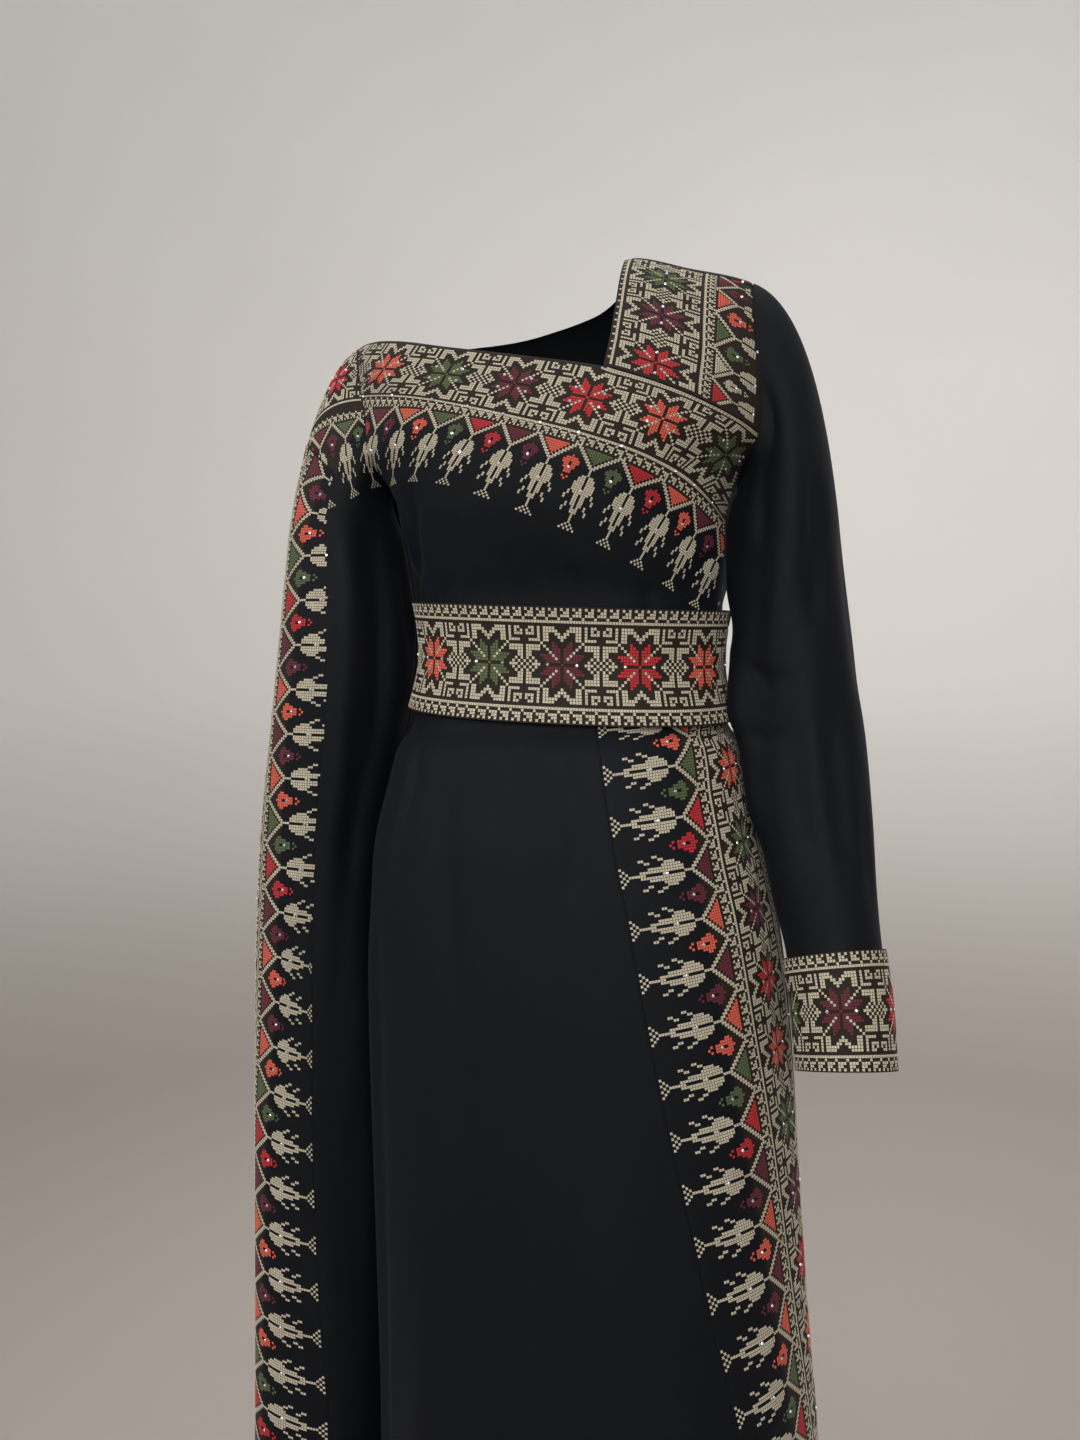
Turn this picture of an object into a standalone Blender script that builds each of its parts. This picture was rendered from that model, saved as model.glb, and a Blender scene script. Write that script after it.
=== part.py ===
"""Floor-length dress of black crepe with cross-stitch borders, worn shape, hollow.

One long fitted sleeve with a cuff on the wearer's left, a long open cape sleeve with an
embroidered strip on the wearer's right, a slanting neckline, one embroidered shoulder strap,
an overlapping skirt panel and a separate wide belt.  Metres, +Z up, the front faces -Y and
the wearer's left is +X.  The origin lies between the shoulders, at their height.
"""
import math

import bpy
import numpy as np

# Driving dimensions
WALL = 0.0016            # cloth thickness
SEAM = 0.0003            # half of the gap left at a seam, measured along the cloth
HEM_Z = -1.395           # hem of the skirt and of the cape sleeve
WAIST_Z = -0.326         # waist seam, hidden under the belt
ARMPIT_Z = -0.168        # lowest point of both armholes
ARMHOLE_GAP = 0.0013     # left between the bodice and each sleeve's head, more at the armpit
SHOULDER_SEAM = 0.008    # how far the left shoulder seam lies in front of the ridge
BELT_HEIGHT = 0.095
BELT_CENTRE_Z = -0.3245
BELT_SIDE_TILT = -0.051  # drop toward the wearer's left, metres for each metre
BELT_FRONT_DIP = 0.100   # drop toward the front, metres for each metre
BELT_EASE = 0.0013       # from the waist to the middle of the belt
BELT_FLARE = 0.0057      # more at the belt's two edges
CUFF_EASE = 0.0026
CUFF_TOP_Z = -0.566
CUFF_BOTTOM_Z = -0.656
CUFF_LAP = 0.008         # how far the sleeve runs up inside the cuff
STRIP_TOP = 0.90         # share of the cape sleeve's rows below the strip's top edge
SEAM_TURN = 0.2          # half of the gap at a seam along a tube, in degrees
CORNER = 2.3             # 2 is an ellipse, more is squarer

# Level sections of the body of the dress
BODY = (
    # z, centre x, half width, front depth, back depth
    (-0.345, 0.0212, 0.1330, 0.101, 0.090),
    (-0.280, 0.0225, 0.1325, 0.106, 0.093),
    (-0.250, 0.0220, 0.1360, 0.117, 0.098),
    (-0.200, 0.0165, 0.1445, 0.133, 0.106),
    (-0.168, 0.0145, 0.1575, 0.137, 0.109),
    (-0.140, 0.0160, 0.1820, 0.136, 0.111),
    (-0.100, 0.0140, 0.1860, 0.131, 0.113),
    (-0.070, 0.0100, 0.1890, 0.126, 0.113),
    (-0.020, 0.0060, 0.1940, 0.115, 0.110),
    (0.030, 0.0040, 0.1960, 0.105, 0.106),
)

# Level sections of the skirt
SKIRT = (
    # z, centre x, half width, front depth, back depth
    (-1.400, 0.0520, 0.1960, 0.176, 0.174),
    (-1.200, 0.0495, 0.1930, 0.171, 0.169),
    (-1.000, 0.0467, 0.1905, 0.167, 0.163),
    (-0.860, 0.0393, 0.1882, 0.158, 0.154),
    (-0.680, 0.0302, 0.1870, 0.148, 0.144),
    (-0.600, 0.0257, 0.1845, 0.144, 0.140),
    (-0.540, 0.0226, 0.1790, 0.140, 0.135),
    (-0.480, 0.0182, 0.1700, 0.134, 0.127),
    (-0.440, 0.0180, 0.1600, 0.127, 0.118),
    (-0.405, 0.0186, 0.1505, 0.119, 0.107),
    (-0.390, 0.0192, 0.1400, 0.107, 0.0975),
    (-0.370, 0.0200, 0.1365, 0.1045, 0.095),
    (-0.345, 0.0212, 0.1330, 0.102, 0.091),
    (-0.320, 0.0216, 0.1325, 0.101, 0.090),
)

# Shoulder ridge, where the front and back of the bodice meet
RIDGE = (
    # x, z
    (-0.215, -0.060), (-0.185, -0.034), (-0.165, -0.026), (-0.080, 0.006), (0.000, 0.022),
    (0.078, 0.026), (0.130, 0.013), (0.180, -0.001), (0.205, -0.020), (0.220, -0.040),
)

# Neckline of the front, which runs on as the seam under the shoulder strap
NECKLINE = (
    # x, z
    (-0.179, -0.0285), (-0.155, -0.0355), (-0.124, -0.0470), (-0.061, -0.0700),
    (0.012, -0.0885), (0.0714, -0.1010), (0.103, -0.1105), (0.134, -0.1210),
    (0.154, -0.1285), (0.173, -0.1355), (0.187, -0.1405), (0.200, -0.1430),
)
NECK_CORNER_X = 0.0714

# How far the back neckline lies below the ridge
BACK_NECK = (
    # x, drop
    (-0.179, 0.001), (-0.150, 0.010), (-0.090, 0.022), (-0.030, 0.028), (0.030, 0.022),
    (0.066, 0.008), (0.076, 0.0),
)
SHOULDER_POINT_X = 0.0755

# Edges of the panels at the armholes
FRONT_LEFT_EDGE = (
    # z, x
    (-0.168, 0.1715), (-0.155, 0.1805), (-0.140, 0.1900), (-0.109, 0.1915),
    (-0.066, 0.1863), (-0.033, 0.1843), (0.000, 0.1829), (0.030, 0.1825),
)
FRONT_RIGHT_EDGE = (
    # z, x
    (-0.168, -0.1425), (-0.146, -0.1490), (-0.120, -0.1510), (-0.106, -0.1540),
    (-0.085, -0.1615), (-0.050, -0.1730), (-0.028, -0.1790), (0.000, -0.1800),
)
BACK_LEFT_EDGE = (
    # z, x
    (-0.168, 0.1715), (-0.150, 0.1780), (-0.120, 0.1800), (-0.060, 0.1790),
    (0.000, 0.1825), (0.030, 0.1825),
)
BACK_RIGHT_EDGE = (
    # z, x
    (-0.168, -0.1425), (-0.150, -0.1490), (-0.120, -0.1530), (-0.080, -0.1620),
    (-0.028, -0.1790), (0.000, -0.1800),
)
STRAP_INNER_EDGE = (
    # z, x
    (-0.102, 0.0714), (-0.0715, 0.0747), (-0.035, 0.0759), (0.0044, 0.0757), (0.030, 0.0755),
)

# Sections of the fitted sleeve
SLEEVE = (
    # z, centre x, centre y, half width, half depth, slope of the section toward the front
    (-0.670, 0.2590, -0.0930, 0.0345, 0.0385, 0.258),
    (-0.655, 0.2580, -0.0890, 0.0347, 0.0388, 0.258),
    (-0.600, 0.2540, -0.0750, 0.0354, 0.0395, 0.258),
    (-0.565, 0.2492, -0.0660, 0.0362, 0.0405, 0.250),
    (-0.520, 0.2415, -0.0550, 0.0402, 0.0430, 0.220),
    (-0.460, 0.2345, -0.0400, 0.0447, 0.0460, 0.160),
    (-0.400, 0.2275, -0.0240, 0.0476, 0.0490, 0.100),
    (-0.340, 0.2185, -0.0120, 0.0495, 0.0520, 0.050),
    (-0.280, 0.2150, -0.0040, 0.0465, 0.0550, 0.000),
    (-0.220, 0.2118, 0.0000, 0.0433, 0.0570, 0.000),
    (-0.180, 0.2110, 0.0000, 0.0390, 0.0570, 0.000),
)
SLEEVE_HEAD_Z = -0.215   # level where the sleeve's head ends
SLEEVE_HEAD_START = 0.70 # share of the sleeve's rows below its head

# Sections of the cape sleeve
CAPE = (
    # z, outer x, inner x, centre y, half depth
    (-1.400, -0.2810, -0.1490, 0.004, 0.073),
    (-1.000, -0.2815, -0.1480, 0.004, 0.070),
    (-0.900, -0.2815, -0.1520, 0.004, 0.069),
    (-0.700, -0.2812, -0.1610, 0.004, 0.068),
    (-0.600, -0.2795, -0.1640, 0.004, 0.069),
    (-0.500, -0.2738, -0.1600, 0.003, 0.071),
    (-0.440, -0.2678, -0.1490, 0.002, 0.073),
    (-0.400, -0.2632, -0.1400, 0.002, 0.075),
    (-0.340, -0.2563, -0.1290, 0.001, 0.077),
    (-0.300, -0.2512, -0.1270, 0.000, 0.077),
    (-0.220, -0.2427, -0.1370, 0.000, 0.073),
    (-0.180, -0.2370, -0.1470, 0.000, 0.070),
)
CAPE_HEAD_Z = -0.215
CAPE_HEAD_START = 0.82   # share of the cape sleeve's rows below its head

# Seam between the front and the overlapping side panel of the skirt
SKIRT_SEAM = (
    # z, angle in degrees from the front toward the wearer's left
    (-1.400, 72.0), (-0.930, 42.6), (-0.787, 32.6), (-0.641, 24.0), (-0.550, 20.6),
    (-0.466, 18.2), (-0.388, 15.6), (-0.320, 14.0),
)
SIDE_PANEL_WIDTH = 0.20  # width of the side panel along the cloth
SKIRT_RIGHT_SEAM = -90.0

# Seams of the cape sleeve, degrees from the outer side toward the front
CAPE_STRIP_BACK = -26.0
CAPE_INNER_SEAM = 180.0
CAPE_STRIP_FRONT = (
    # z, angle
    (-1.400, 117.0), (-1.000, 114.6), (-0.922, 110.8), (-0.836, 108.8), (-0.738, 107.9),
    (-0.631, 110.1), (-0.523, 110.2), (-0.442, 105.8), (-0.362, 101.7), (-0.292, 97.2),
    (-0.215, 97.0),
)

# Largest folds: a soft trough (negative) or ridge (positive) along a line of the tube
CAPE_FOLDS = (
    # angle at the top, angle at the bottom, half width, height, top z, bottom z
    (144.0, 140.0, 13.0, -0.0075, -0.17, -0.60),
    (114.0, 124.0, 10.0, 0.0030, -0.19, -0.70),
    (148.0, 140.0, 12.0, -0.0040, -0.62, -1.40),
    (236.0, 246.0, 16.0, -0.0080, -0.22, -1.40),
    (288.0, 282.0, 16.0, -0.0070, -0.30, -1.40),
)
SLEEVE_FOLDS = (
    # angle at the top, angle at the bottom, half width, height, top z, bottom z
    (120.0, 128.0, 18.0, -0.0040, -0.17, -0.42),
    (70.0, 92.0, 20.0, 0.0025, -0.17, -0.50),
    (250.0, 236.0, 20.0, -0.0040, -0.18, -0.52),
)
SKIRT_FOLDS = (
    # angle at the top, angle at the bottom, half width, height, top z, bottom z
    (-128.0, -132.0, 11.0, -0.0090, -0.40, -1.40),
    (-160.0, -166.0, 11.0, -0.0080, -0.42, -1.40),
    (172.0, 174.0, 10.0, -0.0090, -0.40, -1.40),
    (146.0, 154.0, 10.0, -0.0070, -0.44, -1.40),
)

# Colours: base colour, roughness, metallic
CREPE = ((0.0085, 0.0092, 0.0115), 0.82, 0.0)
EMBROIDERED = ((0.215, 0.185, 0.135), 0.80, 0.0)
BELT_CLOTH = ((0.245, 0.205, 0.145), 0.80, 0.0)


def smooth(rows, column, at):
    """Read a table's column at a place, along a curve with no overshoot between rows."""
    table = np.array(rows, dtype=float)
    place, value = table[:, 0], table[:, column]
    gap = np.diff(place)
    slope = np.diff(value) / gap
    tangent = np.zeros_like(value)
    tangent[0], tangent[-1] = slope[0], slope[-1]
    for i in range(1, len(place) - 1):
        if slope[i - 1] * slope[i] > 0.0:
            after = 2.0 * gap[i] + gap[i - 1]
            before = gap[i] + 2.0 * gap[i - 1]
            tangent[i] = (after + before) / (after / slope[i - 1] + before / slope[i])
    at = min(max(at, place[0]), place[-1])
    k = min(max(int(np.searchsorted(place, at, side="right")) - 1, 0), len(place) - 2)
    t = (at - place[k]) / gap[k]
    start = (1.0 + 2.0 * t) * (1.0 - t) ** 2 * value[k]
    start += t * (1.0 - t) ** 2 * gap[k] * tangent[k]
    end = t * t * (3.0 - 2.0 * t) * value[k + 1] + t * t * (t - 1.0) * gap[k] * tangent[k + 1]
    return float(start + end)


def step(t):
    t = min(max(t, 0.0), 1.0)
    return t * t * (3.0 - 2.0 * t)


def fold_height(folds, angle, z):
    """Sum of the folds at an angle in degrees and a height."""
    total = 0.0
    for top_angle, bottom_angle, half_width, height, top, bottom in folds:
        along = (top - z) / (top - bottom)
        if along <= 0.0:
            continue
        centre = top_angle + (bottom_angle - top_angle) * min(along, 1.0)
        across = (angle - centre + 180.0) % 360.0 - 180.0
        fade = step(along / 0.18)
        if bottom > HEM_Z:
            fade *= 1.0 - step((along - 0.7) / 0.3)
        total += height * fade * math.exp(-(across / half_width) ** 2)
    return total


# Bodice

def ridge_z(x):
    return smooth(RIDGE, 1, x)


def body_side(z, side):
    """x of the body at its side seam; side is 1 for the wearer's left."""
    return smooth(BODY, 1, z) + side * smooth(BODY, 2, z)


def body_depth(x, z, facing):
    """y of the bodice's cloth; facing is -1 for the front and 1 for the back."""
    centre = smooth(BODY, 1, z)
    across = min(abs((x - centre) / smooth(BODY, 2, z)), 1.0)
    depth = smooth(BODY, 3 if facing < 0 else 4, z) * math.sqrt(1.0 - across ** CORNER)
    up = min(max((z - ARMPIT_Z) / (ridge_z(x) - ARMPIT_Z), 0.0), 1.0)
    return facing * depth * math.sqrt(1.0 - up ** (2.0 if facing < 0 else 3.0))


def edge_x(edge, side, z):
    """x of a panel's edge: the side seam below the armpit, the armhole above it."""
    if z <= ARMPIT_Z:
        return body_side(z, side)
    return smooth(edge, 1, z)


def spread(u):
    """Columns set closer toward both sides, where the cloth turns away."""
    return 0.5 - 0.5 * math.cos(math.pi * (0.06 + 0.88 * u)) / math.cos(math.pi * 0.06)


def between(u, z, right_edge, left_edge):
    right = edge_x(right_edge, -1, z)
    left = edge_x(left_edge, 1, z)
    return right + (left - right) * spread(u)


def bodice_front_point(u, v):
    """u from the wearer's right to left, v from the waist up to the neckline."""
    top = -0.08
    for _ in range(12):
        top = smooth(NECKLINE, 1, between(u, top, FRONT_RIGHT_EDGE, FRONT_LEFT_EDGE))
    bottom = WAIST_Z + SEAM
    z = bottom + (top - SEAM - bottom) * v
    x = between(u, z, FRONT_RIGHT_EDGE, FRONT_LEFT_EDGE)
    return x, body_depth(x, z, -1) - SEAM, z


def over_ridge(x, rise, facing):
    """A point of the bodice; rise 1 is the ridge, more goes over it to the other side."""
    if rise > 1.0:
        rise, facing = 2.0 - rise, -facing
    z = ARMPIT_Z + (ridge_z(x) - ARMPIT_Z) * math.sin(0.5 * math.pi * rise)
    return z, body_depth(x, z, facing)


def strap_point(u, v):
    """u from the neck to the armhole, v from the slanting seam up to the shoulder seam."""
    x = NECK_CORNER_X + (0.2 - NECK_CORNER_X) * u
    z = -0.1
    for _ in range(6):
        bottom = smooth(NECKLINE, 1, x) + 3.0 * SEAM
        top = ridge_z(x) - SHOULDER_SEAM
        start = math.asin((bottom - ARMPIT_Z) / (ridge_z(x) - ARMPIT_Z))
        end = math.asin((top - ARMPIT_Z) / (ridge_z(x) - ARMPIT_Z))
        turn = start + (end - start) * v
        z = ARMPIT_Z + (ridge_z(x) - ARMPIT_Z) * math.sin(turn)
        inner = smooth(STRAP_INNER_EDGE, 1, z)
        outer = edge_x(FRONT_LEFT_EDGE, 1, z) - SEAM
        x = inner + (outer - inner) * u
    return x, body_depth(x, z, -1), z


def bodice_back_point(u, v):
    """u from the wearer's left to right, v from the waist up over the left shoulder."""
    split = 0.42
    if v <= split:
        z = WAIST_Z + SEAM + (ARMPIT_Z - WAIST_Z - SEAM) * v / split
        x = between(1.0 - u, z, BACK_RIGHT_EDGE, BACK_LEFT_EDGE)
        return x, body_depth(x, z, 1) + SEAM, z
    z = ARMPIT_Z
    x = between(1.0 - u, z, BACK_RIGHT_EDGE, BACK_LEFT_EDGE)
    y = 0.0
    for _ in range(8):
        height = ridge_z(x) - ARMPIT_Z
        if x < SHOULDER_POINT_X:
            top = math.asin((height - smooth(BACK_NECK, 1, x)) / height) / (0.5 * math.pi)
        else:
            front = math.asin((height - SHOULDER_SEAM + 2.0 * SEAM) / height) / (0.5 * math.pi)
            top = 2.0 - front
        rise = top * (v - split) / (1.0 - split)
        z, y = over_ridge(x, rise, 1)
        x = between(1.0 - u, z, BACK_RIGHT_EDGE, BACK_LEFT_EDGE)
    return x, y + SEAM * step(1.0 - (v - split) / 0.2), z


# Skirt

def ring_point(centre, half_width, front, back, z, angle, out):
    """Point of a level section; angle in degrees from the front toward the wearer's left."""
    turn = math.radians(angle)
    across, along = math.sin(turn), math.cos(turn)
    power = 2.0 / CORNER
    x = math.copysign(abs(across) ** power, across) * (half_width + out)
    y = -math.copysign(abs(along) ** power, along) * ((front if along > 0.0 else back) + out)
    return centre + x, y, z


def skirt_at(angle, z):
    out = fold_height(SKIRT_FOLDS, angle, z)
    sizes = [smooth(SKIRT, column, z) for column in (1, 2, 3, 4)]
    return ring_point(*sizes, z, angle, out)


def skirt_height(v):
    """v from the hem up to the waist seam, in shorter steps toward the waist."""
    return WAIST_Z - SEAM - (WAIST_Z - SEAM - HEM_Z) * (1.0 - v) ** 1.7


def seam_angle(z, gap):
    return smooth(SKIRT_SEAM, 1, z) + math.degrees(gap / 0.12)


def back_seam_angle(z):
    """Angle of the seam where the side panel meets the back."""
    radius = 0.5 * (smooth(SKIRT, 2, z) + smooth(SKIRT, 3, z))
    return seam_angle(z, 0.0) + math.degrees(SIDE_PANEL_WIDTH / radius)


def skirt_front_point(u, v):
    z = skirt_height(v)
    start, end = SKIRT_RIGHT_SEAM + 0.3, seam_angle(z, -SEAM)
    return skirt_at(start + (end - start) * u, z)


def skirt_side_point(u, v):
    z = skirt_height(v)
    start, end = seam_angle(z, SEAM), back_seam_angle(z) - SEAM_TURN
    return skirt_at(start + (end - start) * u, z)


def skirt_back_point(u, v):
    z = skirt_height(v)
    start, end = back_seam_angle(z) + SEAM_TURN, SKIRT_RIGHT_SEAM + 360.0
    return skirt_at(start + (end - start) * u, z)


# Belt

def belt_point(u, v):
    """u once round the waist, v from the lower to the upper edge."""
    angle = 360.0 * u
    sizes = [smooth(BODY, column, BELT_CENTRE_Z) for column in (1, 2, 3, 4)]
    offset = (v - 0.5) * BELT_HEIGHT
    bow = BELT_EASE + WALL + BELT_FLARE * (2.0 * v - 1.0) ** 2
    low = step((0.5 - v) / 0.5)
    sizes[1] += 0.0020 * low
    x, y, _ = ring_point(*sizes, 0.0, angle, bow + 0.0015 * low)
    z = BELT_CENTRE_Z + offset + BELT_SIDE_TILT * (x - sizes[0]) + BELT_FRONT_DIP * y
    return x, y, z


# Fitted sleeve

def armhole_point(angle, side):
    """Angle in degrees from the shoulder tip, over the front, to the armpit and back up."""
    front = (angle % 360.0) <= 180.0
    if side > 0:
        edge = FRONT_LEFT_EDGE if front else BACK_LEFT_EDGE
    else:
        edge = FRONT_RIGHT_EDGE if front else BACK_RIGHT_EDGE
    tip = ridge_z(smooth(edge, 1, 0.0))
    share = 0.5 - 0.5 * math.cos(math.radians(angle))
    z = tip + (ARMPIT_Z - tip) * share
    x = smooth(edge, 1, z)
    y = body_depth(x, z, -1 if front else 1)
    gap = ARMHOLE_GAP * (1.0 + 2.0 * share)
    return np.array((x + side * gap, y, z - gap * share))


def sleeve_ring(angle, z, out):
    sizes = [smooth(SLEEVE, column, z) for column in (1, 2, 3, 4, 5)]
    centre_x, centre_y, half_width, half_depth, slope = sizes
    turn = math.radians(angle)
    out += fold_height(SLEEVE_FOLDS, angle, z)
    y = -math.sin(turn) * (half_depth + out)
    x = math.cos(turn) * (half_width + out)
    return np.array((centre_x + x, centre_y + y, z - slope * y))


def head_curve(start, end, below, angle, side, t):
    """Sleeve head: from the armhole outward, then down onto the tube."""
    outward = 0.5 + 0.5 * math.cos(math.radians(angle))
    reach = np.linalg.norm(end - start)
    leave = np.array((side * (0.50 + 0.14 * outward), 0.0, -0.28 - 0.52 * (1.0 - outward)))
    arrive = (below - end) / np.linalg.norm(below - end)
    h00 = (1.0 + 2.0 * t) * (1.0 - t) ** 2
    h10 = t * (1.0 - t) ** 2
    h01 = t * t * (3.0 - 2.0 * t)
    h11 = t * t * (t - 1.0)
    return h00 * start + h10 * reach * leave + h01 * end + h11 * reach * arrive


def tube_angle(u):
    """Once round the arm, from the outer side over the front."""
    return 360.0 * (1.0 - u)


def sleeve_at(angle, v, out=0.0):
    """v from the cuff end up to the armhole."""
    if v <= SLEEVE_HEAD_START:
        bottom = CUFF_TOP_Z - CUFF_LAP
        return sleeve_ring(angle, bottom + (SLEEVE_HEAD_Z - bottom) * v / SLEEVE_HEAD_START, out)
    t = (1.0 - v) / (1.0 - SLEEVE_HEAD_START)
    end = sleeve_ring(angle, SLEEVE_HEAD_Z, out)
    below = sleeve_ring(angle, SLEEVE_HEAD_Z - 0.01, out)
    return head_curve(armhole_point(angle, 1), end, below, angle, 1, t)


def sleeve_point(u, v):
    return sleeve_at(tube_angle(u), v)


def cuff_point(u, v):
    z = CUFF_BOTTOM_Z + (CUFF_TOP_Z - CUFF_BOTTOM_Z) * v
    return sleeve_ring(tube_angle(u), z, CUFF_EASE)


# Cape sleeve

def cape_ring(angle, z):
    outer, inner = smooth(CAPE, 1, z), smooth(CAPE, 2, z)
    centre_y, half_depth = smooth(CAPE, 3, z), smooth(CAPE, 4, z)
    turn = math.radians(angle)
    out = fold_height(CAPE_FOLDS, angle, z)
    x = -math.cos(turn) * (0.5 * (inner - outer) + out)
    y = -math.sin(turn) * (half_depth + out)
    return np.array((0.5 * (outer + inner) + x, centre_y + y, z))


def cape_at(angle, v):
    """v from the hem up to the armhole."""
    if v <= CAPE_HEAD_START:
        return cape_ring(angle, HEM_Z + (CAPE_HEAD_Z - HEM_Z) * v / CAPE_HEAD_START)
    t = (1.0 - v) / (1.0 - CAPE_HEAD_START)
    end = cape_ring(angle, CAPE_HEAD_Z)
    below = cape_ring(angle, CAPE_HEAD_Z - 0.01)
    return head_curve(armhole_point(angle, -1), end, below, angle, -1, t)


def strip_seam(v):
    """Angle of the seam between the strip and the plain front."""
    return smooth(CAPE_STRIP_FRONT, 1, HEM_Z + (CAPE_HEAD_Z - HEM_Z) * v / CAPE_HEAD_START)


def cape_strip_point(u, v):
    start, end = CAPE_STRIP_BACK + SEAM_TURN, strip_seam(v * STRIP_TOP) - SEAM_TURN
    return cape_at(start + (end - start) * u, (STRIP_TOP - 2.0 * SEAM) * v)


def cape_back_point(u, v):
    start, end = CAPE_INNER_SEAM + SEAM_TURN, 360.0 + CAPE_STRIP_BACK - SEAM_TURN
    return cape_at(start + (end - start) * u, v)


def cape_front_point(u, v):
    """u below 0 runs over the strip, as the embroidered head; above 0 it is the front."""
    if u < 0.0:
        start = CAPE_STRIP_BACK + SEAM_TURN
        return cape_at(start + (strip_seam(v) + SEAM_TURN - start) * (1.0 + u), v)
    start, end = strip_seam(v) + SEAM_TURN, CAPE_INNER_SEAM - SEAM_TURN
    return cape_at(start + (end - start) * u, v)


# Building

def grid(count, start=0.0, end=1.0):
    return [start + (end - start) * i / count for i in range(count + 1)]


def material(name, look):
    colour, roughness, metallic = look
    made = bpy.data.materials.new(name)
    made.use_nodes = True
    shader = made.node_tree.nodes["Principled BSDF"]
    shader.inputs["Base Color"].default_value = (*colour, 1.0)
    shader.inputs["Roughness"].default_value = roughness
    shader.inputs["Metallic"].default_value = metallic
    made.diffuse_color = (*colour, 1.0)
    return made


def cloth(name, look, point, columns, rows, closed=False, cut=None):
    """A wall of cloth through the points of a grid, with its edges closed.

    point gives the inner face, the outer face lies WALL further out.  cut(column, row) is
    true for a cell that is left away.
    """
    inner = np.array([[point(u, v) for v in rows] for u in columns], dtype=float)
    if closed:
        wrapped = np.concatenate((inner[-2:-1], inner, inner[1:2]))
        along = (wrapped[2:] - wrapped[:-2])
    else:
        along = np.gradient(inner, axis=0)
    up = np.gradient(inner, axis=1)
    normal = np.cross(along, up)
    normal /= np.linalg.norm(normal, axis=2, keepdims=True)
    outer = inner + WALL * normal
    count_u = len(columns) - 1 if closed else len(columns)
    count_v = len(rows)
    cells = [(i, j) for i in range(len(columns) - 1) for j in range(count_v - 1)
             if cut is None or not cut(i, j)]
    points, index, faces = [], {}, []

    def vertex(layer, i, j):
        key = (layer, i % count_u, j)
        if key not in index:
            index[key] = len(points)
            points.append((outer if layer else inner)[key[1], j])
        return index[key]

    edges = {}
    for i, j in cells:
        corners = [(i, j), (i + 1, j), (i + 1, j + 1), (i, j + 1)]
        faces.append([vertex(1, a, b) for a, b in corners])
        faces.append([vertex(0, a, b) for a, b in reversed(corners)])
        for k in range(4):
            first = (corners[k][0] % count_u, corners[k][1])
            second = (corners[(k + 1) % 4][0] % count_u, corners[(k + 1) % 4][1])
            if (second, first) in edges:
                del edges[(second, first)]
            else:
                edges[(first, second)] = True
    for first, second in edges:
        faces.append([vertex(1, *second), vertex(1, *first), vertex(0, *first), vertex(0, *second)])
    mesh = bpy.data.meshes.new(name)
    mesh.from_pydata([tuple(p) for p in points], [], faces)
    mesh.materials.append(material(name + "_cloth", look))
    mesh.shade_smooth()
    mesh.set_sharp_from_angle(angle=math.radians(40.0))
    made = bpy.data.objects.new(name, mesh)
    bpy.context.scene.collection.objects.link(made)
    return made


def strip_cut(columns, rows):
    """Cells of the cape sleeve's front grid that the embroidered strip takes."""
    def cut(i, j):
        return columns[i + 1] <= 0.0 and rows[j + 1] <= STRIP_TOP

    return cut


def build():
    for thing in list(bpy.data.objects):
        bpy.data.objects.remove(thing)
    head_columns = grid(8, -1.0, 0.0) + grid(6)[1:]
    head_rows = grid(16, 0.0, STRIP_TOP) + grid(3, STRIP_TOP, 1.0)[1:]
    cloth("bodice_front", CREPE, bodice_front_point, grid(20), grid(15))
    cloth("shoulder_strap", EMBROIDERED, strap_point, grid(8), grid(7))
    cloth("bodice_back", CREPE, bodice_back_point, grid(20), grid(18))
    cloth("belt", BELT_CLOTH, belt_point, grid(40), grid(4), closed=True)
    cloth("skirt_front", CREPE, skirt_front_point, grid(15), grid(16))
    cloth("skirt_side_panel", EMBROIDERED, skirt_side_point, grid(9), grid(16))
    cloth("skirt_back", CREPE, skirt_back_point, grid(24), grid(16))
    cloth("sleeve_left", CREPE, sleeve_point, grid(20), grid(16), closed=True)
    cloth("cuff_left", EMBROIDERED, cuff_point, grid(20), grid(3), closed=True)
    cloth("cape_strip", EMBROIDERED, cape_strip_point, grid(8), grid(16))
    cloth("cape_front", CREPE, cape_front_point, head_columns, head_rows,
          cut=strip_cut(head_columns, head_rows))
    cloth("cape_back", CREPE, cape_back_point, grid(12), head_rows)


build()
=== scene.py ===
import math

import bpy
import numpy as np
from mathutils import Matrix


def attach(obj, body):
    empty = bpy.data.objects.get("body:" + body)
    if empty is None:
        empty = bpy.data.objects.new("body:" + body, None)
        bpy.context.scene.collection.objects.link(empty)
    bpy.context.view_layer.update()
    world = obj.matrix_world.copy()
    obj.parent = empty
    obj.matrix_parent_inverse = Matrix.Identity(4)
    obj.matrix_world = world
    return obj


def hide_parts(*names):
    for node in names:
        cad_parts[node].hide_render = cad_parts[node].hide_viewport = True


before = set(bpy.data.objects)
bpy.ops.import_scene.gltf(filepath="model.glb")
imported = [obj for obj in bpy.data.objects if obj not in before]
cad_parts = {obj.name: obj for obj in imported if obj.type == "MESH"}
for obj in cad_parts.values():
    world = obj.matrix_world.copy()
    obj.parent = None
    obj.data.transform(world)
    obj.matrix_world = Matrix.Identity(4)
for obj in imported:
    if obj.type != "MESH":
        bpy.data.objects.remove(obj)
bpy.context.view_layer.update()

# Sizes of the dress in metres, the same as in its solids
WALL = 0.0016
SEAM = 0.00008
HEM_Z = -1.395
WAIST_Z = -0.326
ARMPIT_Z = -0.168
ARMHOLE_GAP = 0.0003
SHOULDER_SEAM = 0.008
BELT_HEIGHT = 0.095
BELT_CENTRE_Z = -0.3245
BELT_SIDE_TILT = -0.051
BELT_FRONT_DIP = 0.100
BELT_EASE = 0.0013
BELT_FLARE = 0.0057
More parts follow.
